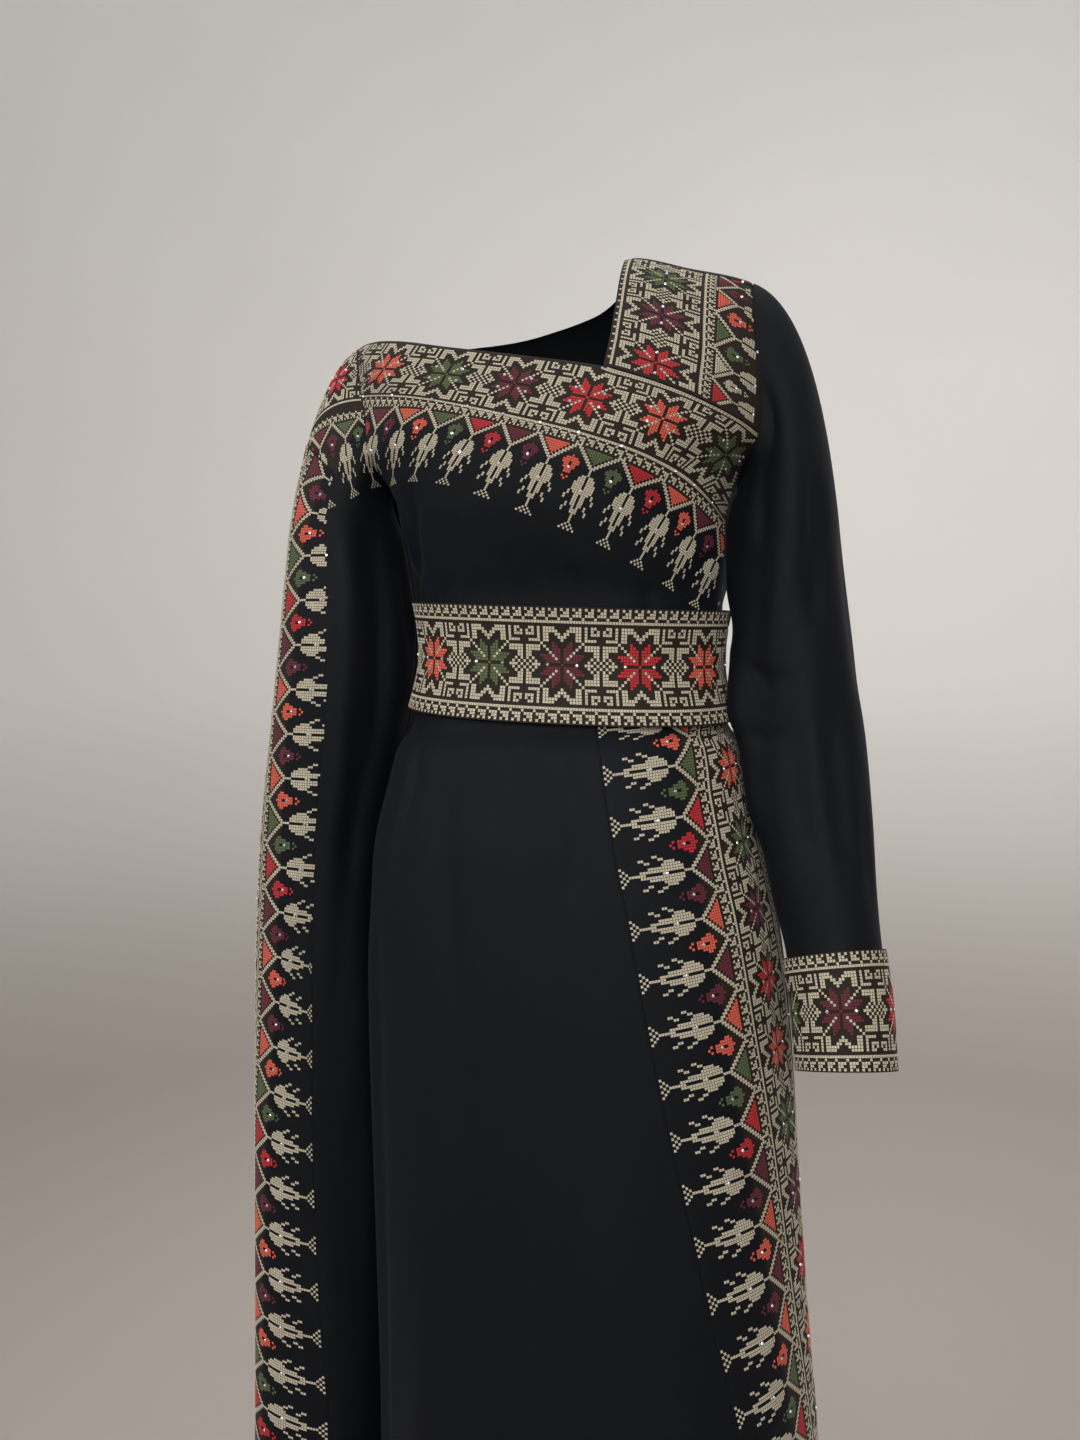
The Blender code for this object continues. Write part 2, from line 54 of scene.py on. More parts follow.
BELT_LOW_OUT = 0.0015    # lower half stands out by this
BELT_LOW_WIDER = 0.0020
CUFF_EASE = 0.0026
CUFF_TOP_Z = -0.566
CUFF_BOTTOM_Z = -0.656
CUFF_LAP = 0.014
STRIP_TOP = 0.90
SEAM_TURN = 0.05
CORNER = 2.3
HEAD_Z = -0.215          # where the sleeves' heads start
SLEEVE_HEAD_START = 0.70
CAPE_HEAD_START = 0.82
NECK_CORNER_X = 0.0714
SHOULDER_POINT_X = 0.0755
SIDE_PANEL_WIDTH = 0.20
SKIRT_RADIUS = 0.12      # turns a seam's gap into an angle
SKIRT_RIGHT_SEAM = -90.0
CAPE_STRIP_BACK = -26.0
CAPE_INNER_SEAM = 180.0

# Sizes of the finish
CLOTH = 0.0009           # thickness that the edges show
ALLOWANCE = 0.004        # cloth turned inward behind a seam
HEM_TURN = 0.022         # height of the turned-up hem
THREAD_LIFT = 0.00012    # stitches above the cloth
THREAD_HEIGHT = 0.00030
THREAD_CROSS = 0.00015   # the upper leg over the lower one
THREAD_SIDE = 0.27       # half width of a stitch's leg, in stitches
SEAM_DIP = 0.0006        # how far cloth sinks at a seam
SEAM_ROUND = 0.0012
HEM_STEP = 0.0004        # cloth thickens by this at its hem
STONE_LIFT = 0.00035     # stones above the cloth's stitches
NECK_EDGE = 0.12         # share of the allowance behind an edge that isn't sewn


def metres(rows, first=0, end=None):
    """A table whose columns from first to end are given in millimetres."""
    table = np.array(rows, dtype=float)
    table[:, first:end] /= 1000.0
    return table


BODY = metres((  # z, centre x, half width, front depth, back depth
    (-345, 21.2, 133, 101, 90), (-280, 22.5, 132.5, 106, 93), (-250, 22, 136, 117, 98),
    (-200, 16.5, 144.5, 133, 106), (-168, 14.5, 157.5, 137, 109), (-140, 16, 182, 136, 111),
    (-100, 14, 186, 131, 113), (-70, 10, 189, 126, 113), (-20, 6, 194, 115, 110),
    (30, 4, 196, 105, 106)))
SKIRT = metres((  # z, centre x, half width, front depth, back depth
    (-1400, 52, 196, 176, 174), (-1200, 49.5, 193, 171, 169), (-1000, 46.7, 190.5, 167, 163),
    (-860, 39.3, 188.2, 158, 154), (-680, 30.2, 187, 148, 144), (-600, 25.7, 184.5, 144, 140),
    (-540, 22.6, 179, 140, 135), (-480, 18.2, 170, 134, 127), (-440, 18, 160, 127, 118),
    (-405, 18.6, 150.5, 119, 107), (-390, 19.2, 140, 107, 97.5), (-370, 20, 136.5, 104.5, 95),
    (-345, 21.2, 133, 102, 91), (-320, 21.6, 132.5, 101, 90)))
RIDGE = metres((  # x, z
    (-215, -60), (-185, -34), (-165, -26), (-80, 6), (0, 22), (78, 26), (130, 13), (180, -1),
    (205, -20), (220, -40)))
NECKLINE = metres((  # x, z
    (-179, -28.5), (-155, -35.5), (-124, -47), (-61, -70), (12, -88.5), (71.4, -101),
    (103, -110.5), (134, -121), (154, -128.5), (173, -135.5), (187, -140.5), (200, -143)))
BACK_NECK = metres((  # x, drop below the shoulder ridge
    (-179, 1), (-150, 10), (-90, 22), (-30, 28), (30, 22), (66, 8), (76, 0)))
FRONT_LEFT_EDGE = metres((  # z, x
    (-168, 171.5), (-155, 180.5), (-140, 190), (-109, 191.5), (-66, 186.3), (-33, 184.3),
    (0, 182.9), (30, 182.5)))
FRONT_RIGHT_EDGE = metres((
    (-168, -142.5), (-146, -149), (-120, -151), (-106, -154), (-85, -161.5), (-50, -173),
    (-28, -179), (0, -180)))
BACK_LEFT_EDGE = metres((
    (-168, 171.5), (-150, 178), (-120, 180), (-60, 179), (0, 182.5), (30, 182.5)))
BACK_RIGHT_EDGE = metres((
    (-168, -142.5), (-150, -149), (-120, -153), (-80, -162), (-28, -179), (0, -180)))
STRAP_INNER_EDGE = metres((
    (-102, 71.4), (-71.5, 74.7), (-35, 75.9), (4.4, 75.7), (30, 75.5)))
SLEEVE = metres((  # z, centre x, centre y, half width, half depth, slope in thousandths
    (-670, 259, -93, 34.5, 38.5, 258), (-655, 258, -89, 34.7, 38.8, 258),
    (-600, 254, -75, 35.4, 39.5, 258), (-565, 249.2, -66, 36.2, 40.5, 250),
    (-520, 241.5, -55, 40.2, 43, 220), (-460, 234.5, -40, 44.7, 46, 160),
    (-400, 227.5, -24, 47.6, 49, 100), (-340, 218.5, -12, 49.5, 52, 50),
    (-280, 215, -4, 46.5, 55, 0), (-220, 211.8, 0, 43.3, 57, 0), (-180, 211, 0, 39, 57, 0)))
CAPE = metres((  # z, outer x, inner x, centre y, half depth
    (-1400, -281, -149, 4, 73), (-1000, -281.5, -148, 4, 70), (-900, -281.5, -152, 4, 69),
    (-700, -281.2, -161, 4, 68), (-600, -279.5, -164, 4, 69), (-500, -273.8, -160, 3, 71),
    (-440, -267.8, -149, 2, 73), (-400, -263.2, -140, 2, 75), (-340, -256.3, -129, 1, 77),
    (-300, -251.2, -127, 0, 77), (-220, -242.7, -137, 0, 73), (-180, -237, -147, 0, 70)))
SKIRT_SEAM = metres((  # z, angle
    (-1400, 72), (-930, 42.6), (-787, 32.6), (-641, 24), (-550, 20.6), (-466, 18.2), (-388, 15.6),
    (-320, 14)), 0, 1)
CAPE_STRIP_FRONT = metres((  # z, angle
    (-1400, 117), (-1000, 114.6), (-922, 110.8), (-836, 108.8), (-738, 107.9), (-631, 110.1),
    (-523, 110.2), (-442, 105.8), (-362, 101.7), (-292, 97.2), (-215, 97)), 0, 1)
CAPE_FOLDS = metres((  # angle at the top, at the bottom, half width, height, top z, bottom z
    (144, 140, 13, -7.5, -170, -600), (114, 124, 10, 3, -190, -700),
    (148, 140, 12, -4, -620, -1400), (236, 246, 16, -8, -220, -1400),
    (288, 282, 16, -7, -300, -1400)), 3)
SLEEVE_FOLDS = metres((
    (120, 128, 18, -4, -170, -420), (70, 92, 20, 2.5, -170, -500), (250, 236, 20, -4, -180, -520)), 3)
SKIRT_FOLDS = metres((
    (-128, -132, 11, -9, -400, -1400), (-160, -166, 11, -8, -420, -1400),
    (172, 174, 10, -9, -400, -1400), (146, 154, 10, -7, -440, -1400)), 3)


def step(t):
    t = np.clip(t, 0.0, 1.0)
    return t * t * (3.0 - 2.0 * t)


def hermite(t, start, leave, end, arrive):
    """A smooth curve from start to end, with its slope at both."""
    return start + (end - start) * step(t) + t * (1.0 - t) ** 2 * leave + t * t * (t - 1.0) * arrive


def curve(rows, column, at):
    """A table's column along a smooth curve with no overshoot between its rows."""
    table = np.array(rows, dtype=float)
    key, value = table[:, 0], table[:, column]
    gap = np.diff(key)
    slope = np.diff(value) / gap
    tangent = np.zeros_like(value)
    tangent[0], tangent[-1] = slope[0], slope[-1]
    for i in range(1, len(key) - 1):
        if slope[i - 1] * slope[i] > 0.0:
            after = 2.0 * gap[i] + gap[i - 1]
            before = gap[i] + 2.0 * gap[i - 1]
            tangent[i] = (after + before) / (after / slope[i - 1] + before / slope[i])
    at = np.clip(at, key[0], key[-1])
    k = np.clip(np.searchsorted(key, at, side="right") - 1, 0, len(key) - 2)
    t = (at - key[k]) / gap[k]
    return hermite(t, value[k], gap[k] * tangent[k], value[k + 1], gap[k] * tangent[k + 1])


def curves(rows, at):
    """All columns of a table after its first."""
    return [curve(rows, column, at) for column in range(1, len(rows[0]))]


def place(x, y, z):
    return np.stack(np.broadcast_arrays(x, y, z), axis=-1)


def fold_height(folds, angle, z):
    total = 0.0
    for top_angle, bottom_angle, half_width, height, top, bottom in folds:
        along = (top - z) / (top - bottom)
        centre = top_angle + (bottom_angle - top_angle) * np.minimum(along, 1.0)
        across = (angle - centre + 180.0) % 360.0 - 180.0
        fade = step(along / 0.18)
        if bottom > HEM_Z:
            fade = fade * (1.0 - step((along - 0.7) / 0.3))
        total = total + height * fade * np.exp(-(across / half_width) ** 2)
    return total


# Bodice
FRONT_EDGES = FRONT_RIGHT_EDGE, FRONT_LEFT_EDGE
BACK_EDGES = BACK_RIGHT_EDGE, BACK_LEFT_EDGE
CROWDING = 0.06          # how close the columns are at a panel's sides
BACK_SPLIT = 0.42        # share of the back that is below the armpit


def ridge_z(x):
    return curve(RIDGE, 1, x)


def body_depth(x, z, facing):
    centre, half_width, front, back = curves(BODY, z)
    across = np.minimum(np.abs((x - centre) / half_width), 1.0)
    depth = np.where(facing < 0, front, back) * np.sqrt(1.0 - across ** CORNER)
    up = np.clip((z - ARMPIT_Z) / (ridge_z(x) - ARMPIT_Z), 0.0, 1.0)
    return facing * depth * np.sqrt(1.0 - up ** np.where(facing < 0, 2.0, 3.0))


def body_point(x, z, facing):
    return place(x, body_depth(x, z, facing) + facing * SEAM, z)


def sides(z, right_edge, left_edge):
    """A panel's right and left edge: the body's side, and above the armpit the armhole."""
    low, centre, half_width = z <= ARMPIT_Z, curve(BODY, 1, z), curve(BODY, 2, z)
    right = np.where(low, centre - half_width, curve(right_edge, 1, z))
    return right, np.where(low, centre + half_width, curve(left_edge, 1, z))


def between(u, z, edges):
    right, left = sides(z, *edges)
    turn = math.pi * (CROWDING + (1.0 - 2.0 * CROWDING) * u)
    return right + (left - right) * (0.5 - 0.5 * np.cos(turn) / math.cos(math.pi * CROWDING))


def bodice_front_point(u, v):
    top = np.full(np.shape(u), -0.08)
    for _ in range(12):
        top = curve(NECKLINE, 1, between(u, top, FRONT_EDGES))
    bottom = WAIST_Z + SEAM
    z = bottom + (top - SEAM - bottom) * v
    return body_point(between(u, z, FRONT_EDGES), z, -1)


def strap_point(u, v):
    x = NECK_CORNER_X + (0.2 - NECK_CORNER_X) * u
    for _ in range(6):
        height = ridge_z(x) - ARMPIT_Z
        start = np.arcsin((curve(NECKLINE, 1, x) + 3.0 * SEAM - ARMPIT_Z) / height)
        end = np.arcsin((height - SHOULDER_SEAM) / height)
        z = ARMPIT_Z + height * np.sin(start + (end - start) * v)
        inner = curve(STRAP_INNER_EDGE, 1, z)
        x = inner + (sides(z, *FRONT_EDGES)[1] - SEAM - inner) * u
    return place(x, body_depth(x, z, -1), z)


def bodice_back_point(u, v):
    """Straight up to the armpit, then to the neck or over the shoulder to the strap."""
    z = WAIST_Z + SEAM + (ARMPIT_Z - WAIST_Z - SEAM) * np.minimum(v, BACK_SPLIT) / BACK_SPLIT
    under = body_point(between(1.0 - u, z, BACK_EDGES), z, 1)
    high = np.maximum(v - BACK_SPLIT, 0.0) / (1.0 - BACK_SPLIT)
    z = np.full(np.shape(u), ARMPIT_Z)
    x = between(1.0 - u, z, BACK_EDGES)
    for _ in range(8):
        height = ridge_z(x) - ARMPIT_Z
        neck = np.arcsin((height - curve(BACK_NECK, 1, x)) / height) / (0.5 * math.pi)
        beyond = 2.0 - np.arcsin((height - SHOULDER_SEAM + 2.0 * SEAM) / height) / (0.5 * math.pi)
        rise = np.where(x < SHOULDER_POINT_X, neck, beyond) * high
        facing = np.where(rise > 1.0, -1, 1)
        z = ARMPIT_Z + height * np.sin(0.5 * math.pi * np.where(rise > 1.0, 2.0 - rise, rise))
        y = body_depth(x, z, facing)
        x = between(1.0 - u, z, BACK_EDGES)
    above = place(x, y + SEAM * step(1.0 - (v - BACK_SPLIT) / 0.2), z)
    return np.where((v <= BACK_SPLIT)[..., None], under, above)


# Skirt
def ring_point(centre, half_width, front, back, z, angle, out):
    across, along = np.sin(np.radians(angle)), np.cos(np.radians(angle))
    power = 2.0 / CORNER
    x = np.sign(across) * np.abs(across) ** power * (half_width + out)
    y = -np.sign(along) * np.abs(along) ** power * (np.where(along > 0.0, front, back) + out)
    return place(centre + x, y, z)


def skirt_at(angle, z):
    return ring_point(*curves(SKIRT, z), z, angle, fold_height(SKIRT_FOLDS, angle, z))


def seam_angle(z, gap):
    return curve(SKIRT_SEAM, 1, z) + math.degrees(gap / SKIRT_RADIUS)


def back_seam_angle(z):
    radius = 0.5 * (curve(SKIRT, 2, z) + curve(SKIRT, 3, z))
    return seam_angle(z, 0.0) + np.degrees(SIDE_PANEL_WIDTH / radius)


def skirt_panel(first, last):
    """A panel between two seams, each of them an angle for a height."""
    def point(u, v):
        z = HEM_Z + (WAIST_Z - SEAM - HEM_Z) * v
        start, end = first(z), last(z)
        return skirt_at(start + (end - start) * u, z)
    return point


skirt_front_point = skirt_panel(lambda z: SKIRT_RIGHT_SEAM + 0.3, lambda z: seam_angle(z, -SEAM))
skirt_side_point = skirt_panel(lambda z: seam_angle(z, SEAM), lambda z: back_seam_angle(z) - SEAM_TURN)
skirt_back_point = skirt_panel(lambda z: back_seam_angle(z) + SEAM_TURN, lambda z: SKIRT_RIGHT_SEAM + 360.0)


# Belt
def belt_point(u, v):
    centre, half_width, front, back = curves(BODY, BELT_CENTRE_Z)
    low = step((0.5 - v) / 0.5)
    bow = BELT_EASE + WALL + BELT_FLARE * (2.0 * v - 1.0) ** 2 + BELT_LOW_OUT * low
    level = ring_point(centre, half_width + BELT_LOW_WIDER * low, front, back, 0.0, 360.0 * u, bow)
    x, y = level[..., 0], level[..., 1]
    z = BELT_CENTRE_Z + (v - 0.5) * BELT_HEIGHT + BELT_SIDE_TILT * (x - centre) + BELT_FRONT_DIP * y
    return place(x, y, z)


# Sleeves
def armhole_point(angle, side):
    front = (angle % 360.0) <= 180.0
    edges = (FRONT_LEFT_EDGE, BACK_LEFT_EDGE) if side > 0 else (FRONT_RIGHT_EDGE, BACK_RIGHT_EDGE)
    tip = np.where(front, *(ridge_z(curve(edge, 1, 0.0)) for edge in edges))
    share = 0.5 - 0.5 * np.cos(np.radians(angle))
    z = tip + (ARMPIT_Z - tip) * share
    x = np.where(front, *(curve(edge, 1, z) for edge in edges))
    y = body_depth(x, z, np.where(front, -1, 1))
    gap = ARMHOLE_GAP * (1.0 + 2.0 * share)
    return place(x + side * gap, y, z - gap * share)


def headed(ring, side, hem, head_start, angle, v):
    """Rings of a tube, and from head_start on its head, which curves on to the armhole."""
    tube = ring(angle, hem + (HEAD_Z - hem) * np.minimum(v / head_start, 1.0))
    level = np.full(np.shape(angle), HEAD_Z)
    end, below = ring(angle, level), ring(angle, level - 0.01)
    start = armhole_point(angle, side)
    outer = 0.5 + 0.5 * np.cos(np.radians(angle))
    reach = np.linalg.norm(end - start, axis=-1, keepdims=True)
    leave = place(side * (0.50 + 0.14 * outer), 0.0, -0.28 - 0.52 * (1.0 - outer))
    arrive = (below - end) / np.linalg.norm(below - end, axis=-1, keepdims=True)
    t = np.minimum((1.0 - v) / (1.0 - head_start), 1.0)[..., None]
    head = hermite(t, start, reach * leave, end, reach * arrive)
    return np.where((v <= head_start)[..., None], tube, head)


def sleeve_ring(angle, z, out=0.0):
    centre_x, centre_y, half_width, half_depth, slope = curves(SLEEVE, z)
    out = out + fold_height(SLEEVE_FOLDS, angle, z)
    y = -np.sin(np.radians(angle)) * (half_depth + out)
    x = np.cos(np.radians(angle)) * (half_width + out)
    return place(centre_x + x, centre_y + y, z - slope * y)


def sleeve_point(u, v):
    return headed(sleeve_ring, 1, CUFF_TOP_Z - CUFF_LAP, SLEEVE_HEAD_START, 360.0 * (1.0 - u), v)


def cuff_point(u, v):
    """The cuff hangs a little higher on its outer side."""
    angle = 360.0 * (1.0 - u)
    points = sleeve_ring(angle, CUFF_BOTTOM_Z + (CUFF_TOP_Z - CUFF_BOTTOM_Z) * v, CUFF_EASE)
    lean = (0.0024 + 0.0030 * v) * np.cos(np.radians(angle)) + 0.0034 - 0.0050 * v
    return points + place(0.0, 0.0, lean)


def cape_ring(angle, z):
    outer, inner, centre_y, half_depth = curves(CAPE, z)
    out = fold_height(CAPE_FOLDS, angle, z)
    x = -np.cos(np.radians(angle)) * (0.5 * (inner - outer) + out)
    y = -np.sin(np.radians(angle)) * (half_depth + out)
    return place(0.5 * (outer + inner) + x, centre_y + y, z)


def cape_at(angle, v):
    return headed(cape_ring, -1, HEM_Z, CAPE_HEAD_START, angle, v)


def strip_z(v):
    return HEM_Z + (HEAD_Z - HEM_Z) * v / CAPE_HEAD_START


def strip_seam(v):
    return curve(CAPE_STRIP_FRONT, 1, strip_z(v))


def cape_strip_point(u, v):
    start, end = CAPE_STRIP_BACK + SEAM_TURN, strip_seam(v * STRIP_TOP) - SEAM_TURN
    return cape_at(start + (end - start) * u, (STRIP_TOP - 2.0 * SEAM) * v)


def cape_back_point(u, v):
    start, end = CAPE_INNER_SEAM + SEAM_TURN, 360.0 + CAPE_STRIP_BACK - SEAM_TURN
    return cape_at(start + (end - start) * u, v)


def cape_front_point(u, v):
    head = CAPE_STRIP_BACK + SEAM_TURN
    seam = strip_seam(v) + SEAM_TURN
    over_strip = head + (seam - head) * (1.0 + u)
    front = seam + (CAPE_INNER_SEAM - SEAM_TURN - seam) * u
    return cape_at(np.where(u < 0.0, over_strip, front), v)


# Creases in millimetres: half width, height (negative is a trough), then places along the line
BODICE_CREASES = (  # places are x, z
    (9, -4, -88, -170, -96.7, -203, -103, -239, -118, -285),
    (9, 3, -138, -170, -142.6, -203, -141.6, -248, -134, -290),
    (6, -2, -12, -236, -9, -260, -4, -300),
    (7, -2.2, 40, -250, 47, -268, 50, -305),
    (6, 1.4, 22, -262, 24, -310),
    (7, -2.2, 98, -265, 104, -283, 100, -312),
    (7, -2.6, 155, -238, 140, -252, 133, -290),
    (8, -2, -60, -250, -67, -275, -70, -310),
    (6, -1.6, -135, -262, -110, -270, -80, -292),
    (30, 1.6, 0, -160, 30, -215, 20, -260),
    (11, 4.5, -128, -175, -113, -215, -107.5, -250, -103.5, -300),
)
BACK_CREASES = (
    (12, -5.8, -90, -110, -70, -190, -60, -320),
    (12, -6, 110, -120, 90, -200, 80, -320),
    (9, -3.8, 10, -180, 12, -250, 8, -320),
    (8, -3.6, 130, -150, 120, -190, 125, -250),
    (8, -3.8, -120, -140, -105, -190, -110, -260),
    (6, -3, -130, -270, -90, -262, -40, -276),
    (6, -3.2, 140, -280, 100, -268, 50, -280),
    (14, -3.4, -110, -50, -40, -60, 30, -40),
    (11, 6, 165.5, -165, 159, -205, 154.5, -250, 152, -290),
)
SLEEVE_CREASES = (  # places are angle, z
    (10, 4, 80, -120, 85, -217, 107, -316, 112, -360),
    (8, -4.8, 124, -150, 121, -190, 116, -245),
    (9, -4.8, 52, -160, 57, -215, 64, -265, 73, -325),
    (10, -4.2, 58, -345, 66, -420, 62, -530),
    (9, -3.2, 95, -370, 104, -440, 98, -520),
    (7, -3.4, 150, -330, 118, -352, 84, -350),
    (7, -3, 158, -390, 128, -402, 100, -392),
    (10, -3.6, 195, -200, 212, -270, 208, -350),
    (10, -3.4, 268, -160, 262, -240, 272, -330),
    (10, -2.4, 300, -360, 292, -440, 300, -530),
    (11, -2.4, 330, -150, 322, -240, 332, -340),
    (12, -2, 10, -200, 16, -290, 8, -380),
    (8, -2.6, 225, -400, 205, -420, 180, -410),
    (8, -1.6, 28, -420, 34, -470, 30, -550),
    (12, 7.5, 166, -150, 163, -240, 162, -314),
    (12, 9, 163, -325, 160, -390, 164, -500),
    (13, 4.5, 162, -295, 161, -350, 161, -405),
)
CAPE_CREASES = (
    (9, 3, 110, -160, 112, -260, 113, -360, 122, -451, 128, -563),
    (9, -3.4, 130, -180, 134, -250, 140, -330, 152, -430),
    (8, -2.6, 160, -200, 166, -270, 172, -340),
    (16, -2.2, 124, -520, 132, -640, 130, -800, 136, -980),
    (10, 2.4, 150, -560, 158, -700, 156, -880),
    (13, 2.8, 112, -760, 118, -950, 124, -1150, 122, -1390),
    (13, -3, 160, -900, 150, -1060, 154, -1250, 150, -1400),
    (11, -5.6, 208, -240, 212, -420, 214, -700, 211, -1000, 216, -1400),
    (10, 4.6, 262, -200, 266, -450, 262, -800, 266, -1400),
    (9, -4.4, 306, -220, 310, -500, 306, -900, 310, -1400),
    (16, -1.6, 60, -380, 52, -560, 56, -760),
    (18, -2.4, 20, -480, 14, -740, 18, -1100, 12, -1400),
    (16, 1.8, -14, -300, -10, -700, -14, -1100),
    (18, -1.8, 86, -880, 80, -1080, 84, -1400),
    (13, 7, 196, -180, 200, -280, 202, -380, 198, -500),
    (19, 8.2, 147, -150, 148, -300, 145, -560, 147, -800, 143, -1520),
)
SKIRT_CREASES = (
    (7, -4.2, -46, -385, -42, -430, -44, -520),
    (11, -4.2, -30, -388, -24, -460, -20, -600, -21, -760),
    (8, -2.2, -7, -386, -5, -420, -7, -480),
    (10, 1.6, 4, -390, 5, -430, 3, -520),
    (8, -2, 11, -388, 9, -440, 8, -540),
    (18, -4.8, -60, -400, -56, -620, -58, -900, -62, -1400),
    (20, 3, -36, -700, -34, -950, -38, -1400),
    (22, -3, -14, -680, -12, -940, -15, -1400),
    (24, 2.6, 6, -620, 12, -900, 14, -1400),
    (16, -2.8, 30, -960, 34, -1160, 33, -1400),
    (10, -2.4, 48, -395, 52, -440, 50, -560),
    (14, -3, 70, -400, 74, -520, 72, -760),
    (18, -4, 86, -410, 90, -700, 94, -1100, 96, -1400),
    (20, -2.6, 62, -660, 68, -900, 74, -1400),
    (15, -7, 108, -400, 112, -600, 118, -1000, 120, -1400),
    (12, 5.2, 128, -410, 131, -700, 136, -1400),
    (12, 4.8, 160, -400, 163, -800, 164, -1400),
    (10, -4, 186, -420, 184, -560, 186, -760),
    (12, 5.2, -172, -400, -174, -800, -178, -1400),
    (12, 5.4, -144, -410, -146, -700, -150, -1400),
    (14, -7, -108, -400, -110, -660, -114, -1100, -112, -1400),
    (10, -3.6, -94, -410, -92, -560, -95, -760),
    (13, 7.5, 97, -372, 95, -410, 93, -480),
    (12, 4, -84, -372, -84, -400, -86, -440),
)
BELT_CREASES = (  # places are angle, percent of the belt's height
    (10, -0.9, -58, 10, -54, 50, -57, 90),
    (12, -0.8, 48, 0, 46, 50, 49, 100),
    (10, -1, 150, 0, 153, 100),
    (10, -1, -130, 0, -134, 100),
)


def over(surface, creases, units=(1.0, 1000.0)):
    """The creases with their lines as points in space."""
    lines = []
    for half_width, height, *places in creases:
        first, second = (np.array(places, dtype=float).reshape(-1, 2) / units).T
        lines.append((surface(first, second), half_width / 1000.0, height / 1000.0))
    return lines


def run_along(points):
    """Length from the first point to each, along the first axis."""
    lengths = np.linalg.norm(np.diff(points, axis=0), axis=-1)
    return np.concatenate((np.zeros_like(lengths[:1]), np.cumsum(lengths, axis=0)))


def creased(lines, points):
    total = np.zeros(points.shape[:-1])
    for path, half_width, height in lines:
        lengths = np.linalg.norm(np.diff(path, axis=0), axis=1)
        near = np.full(total.shape, 9.0)
        share = np.zeros(total.shape)
        for k, length in enumerate(lengths):
            run = path[k + 1] - path[k]
            t = np.clip((points - path[k]) @ run / length ** 2, 0.0, 1.0)
            away = np.linalg.norm(points - path[k] - t[..., None] * run, axis=-1)
            at = (lengths[:k].sum() + t * length) / lengths.sum()
            share = np.where(away < near, at, share)
            near = np.minimum(away, near)
        fade = step(share / 0.3) * step((1.0 - share) / 0.3)
        total += height * fade * np.exp(-(near / half_width) ** 2)
    return total


bodice_lines = over(lambda x, z: body_point(x, z, -1), BODICE_CREASES, (1000.0, 1000.0))
bodice_lines += over(lambda x, z: body_point(x, z, 1), BACK_CREASES, (1000.0, 1000.0))
sleeve_lines = over(sleeve_ring, SLEEVE_CREASES)
cape_lines = over(cape_ring, CAPE_CREASES)
skirt_lines = over(skirt_at, SKIRT_CREASES)
belt_lines = over(lambda angle, v: belt_point(angle / 360.0, v), BELT_CREASES, (1.0, 100.0))


# Materials
class Socket:
    """A shader socket that takes part in sums."""

    def __init__(self, tree, socket):
        self.tree = tree
        self.socket = socket

    def work(self, operation, first, second):
        made = self.tree.nodes.new("ShaderNodeMath")
        made.operation = operation
        for socket, value in zip(made.inputs, (first, second)):
            fill(self.tree, socket, value)
        return Socket(self.tree, made.outputs[0])

    def __add__(self, other):
        return self.work("ADD", self, other)

    def __radd__(self, other):
        return self.work("ADD", other, self)

    def __mul__(self, other):
        return self.work("MULTIPLY", self, other)

    def __rmul__(self, other):
        return self.work("MULTIPLY", other, self)


def fill(tree, socket, value):
    if isinstance(value, Socket):
        tree.links.new(value.socket, socket)
    else:
        socket.default_value = value


class Finish:
    """A material with one principled shader."""

    def __init__(self, name, **constants):
        self.material = bpy.data.materials.new(name)
        self.material.use_nodes = True
        self.tree = self.material.node_tree
        self.shader = self.tree.nodes["Principled BSDF"]
        for socket, value in constants.items():
            self.shader.inputs[socket.replace("_", " ")].default_value = value
        self.at = self.node("TexCoord", {}, {}, "Object")

    def node(self, kind, settings, sockets, output=0):
        made = self.tree.nodes.new("ShaderNode" + kind)
        for setting, value in settings.items():
            setattr(made, setting, value)
        for socket, value in sockets.items():
            fill(self.tree, made.inputs[socket], value)
        return Socket(self.tree, made.outputs[output])

    def mix(self, factor, first, second):
        return self.node("Mix", {"data_type": "RGBA"}, {0: factor, 6: first, 7: second}, 2)

    def noise(self, scale, detail):
        return self.node("TexNoise", {}, {"Vector": self.at, "Scale": scale, "Detail": detail})

    def bump(self, height, strength, distance):
        return self.node("Bump", {}, {"Height": height, "Strength": strength, "Distance": distance})

    def set(self, socket, value):
        fill(self.tree, self.shader.inputs[socket], value)


def linear(red, green, blue):
    """A colour as seen, 0 to 255, turned to the shader's own."""
    return tuple((c / 255.0 / 12.92 if c <= 10 else ((c / 255.0 + 0.055) / 1.055) ** 2.4)
                 for c in (red, green, blue)) + (1.0,)


def crepe():
    """Matt black crepe; browner where thread covers it."""
    made = Finish("black_crepe", Sheen_Weight=0.03, Sheen_Roughness=0.45, Specular_IOR_Level=0.10,
                  Sheen_Tint=linear(176, 190, 220))
    grain = made.noise(1500.0, 3.0)
    pebble = made.noise(620.0, 2.0)
    cloud = made.noise(26.0, 3.0)
    stitched = made.node("Attribute", {"attribute_name": "stitched"}, {}, "Fac")
    plain = made.mix(cloud, linear(7, 9, 12), linear(11, 12, 16))
    plain = made.mix(pebble * 0.4, plain, linear(16, 19, 25))
    ground = made.mix(cloud, linear(30, 24, 19), linear(38, 31, 25))
    made.set("Base Color", made.mix(stitched, plain, ground))
    made.set("Roughness", 0.56 + grain * 0.16)
    made.set("Normal", made.bump(grain * 0.45 + pebble * 0.55, 0.35, 0.0003))
    return made.material


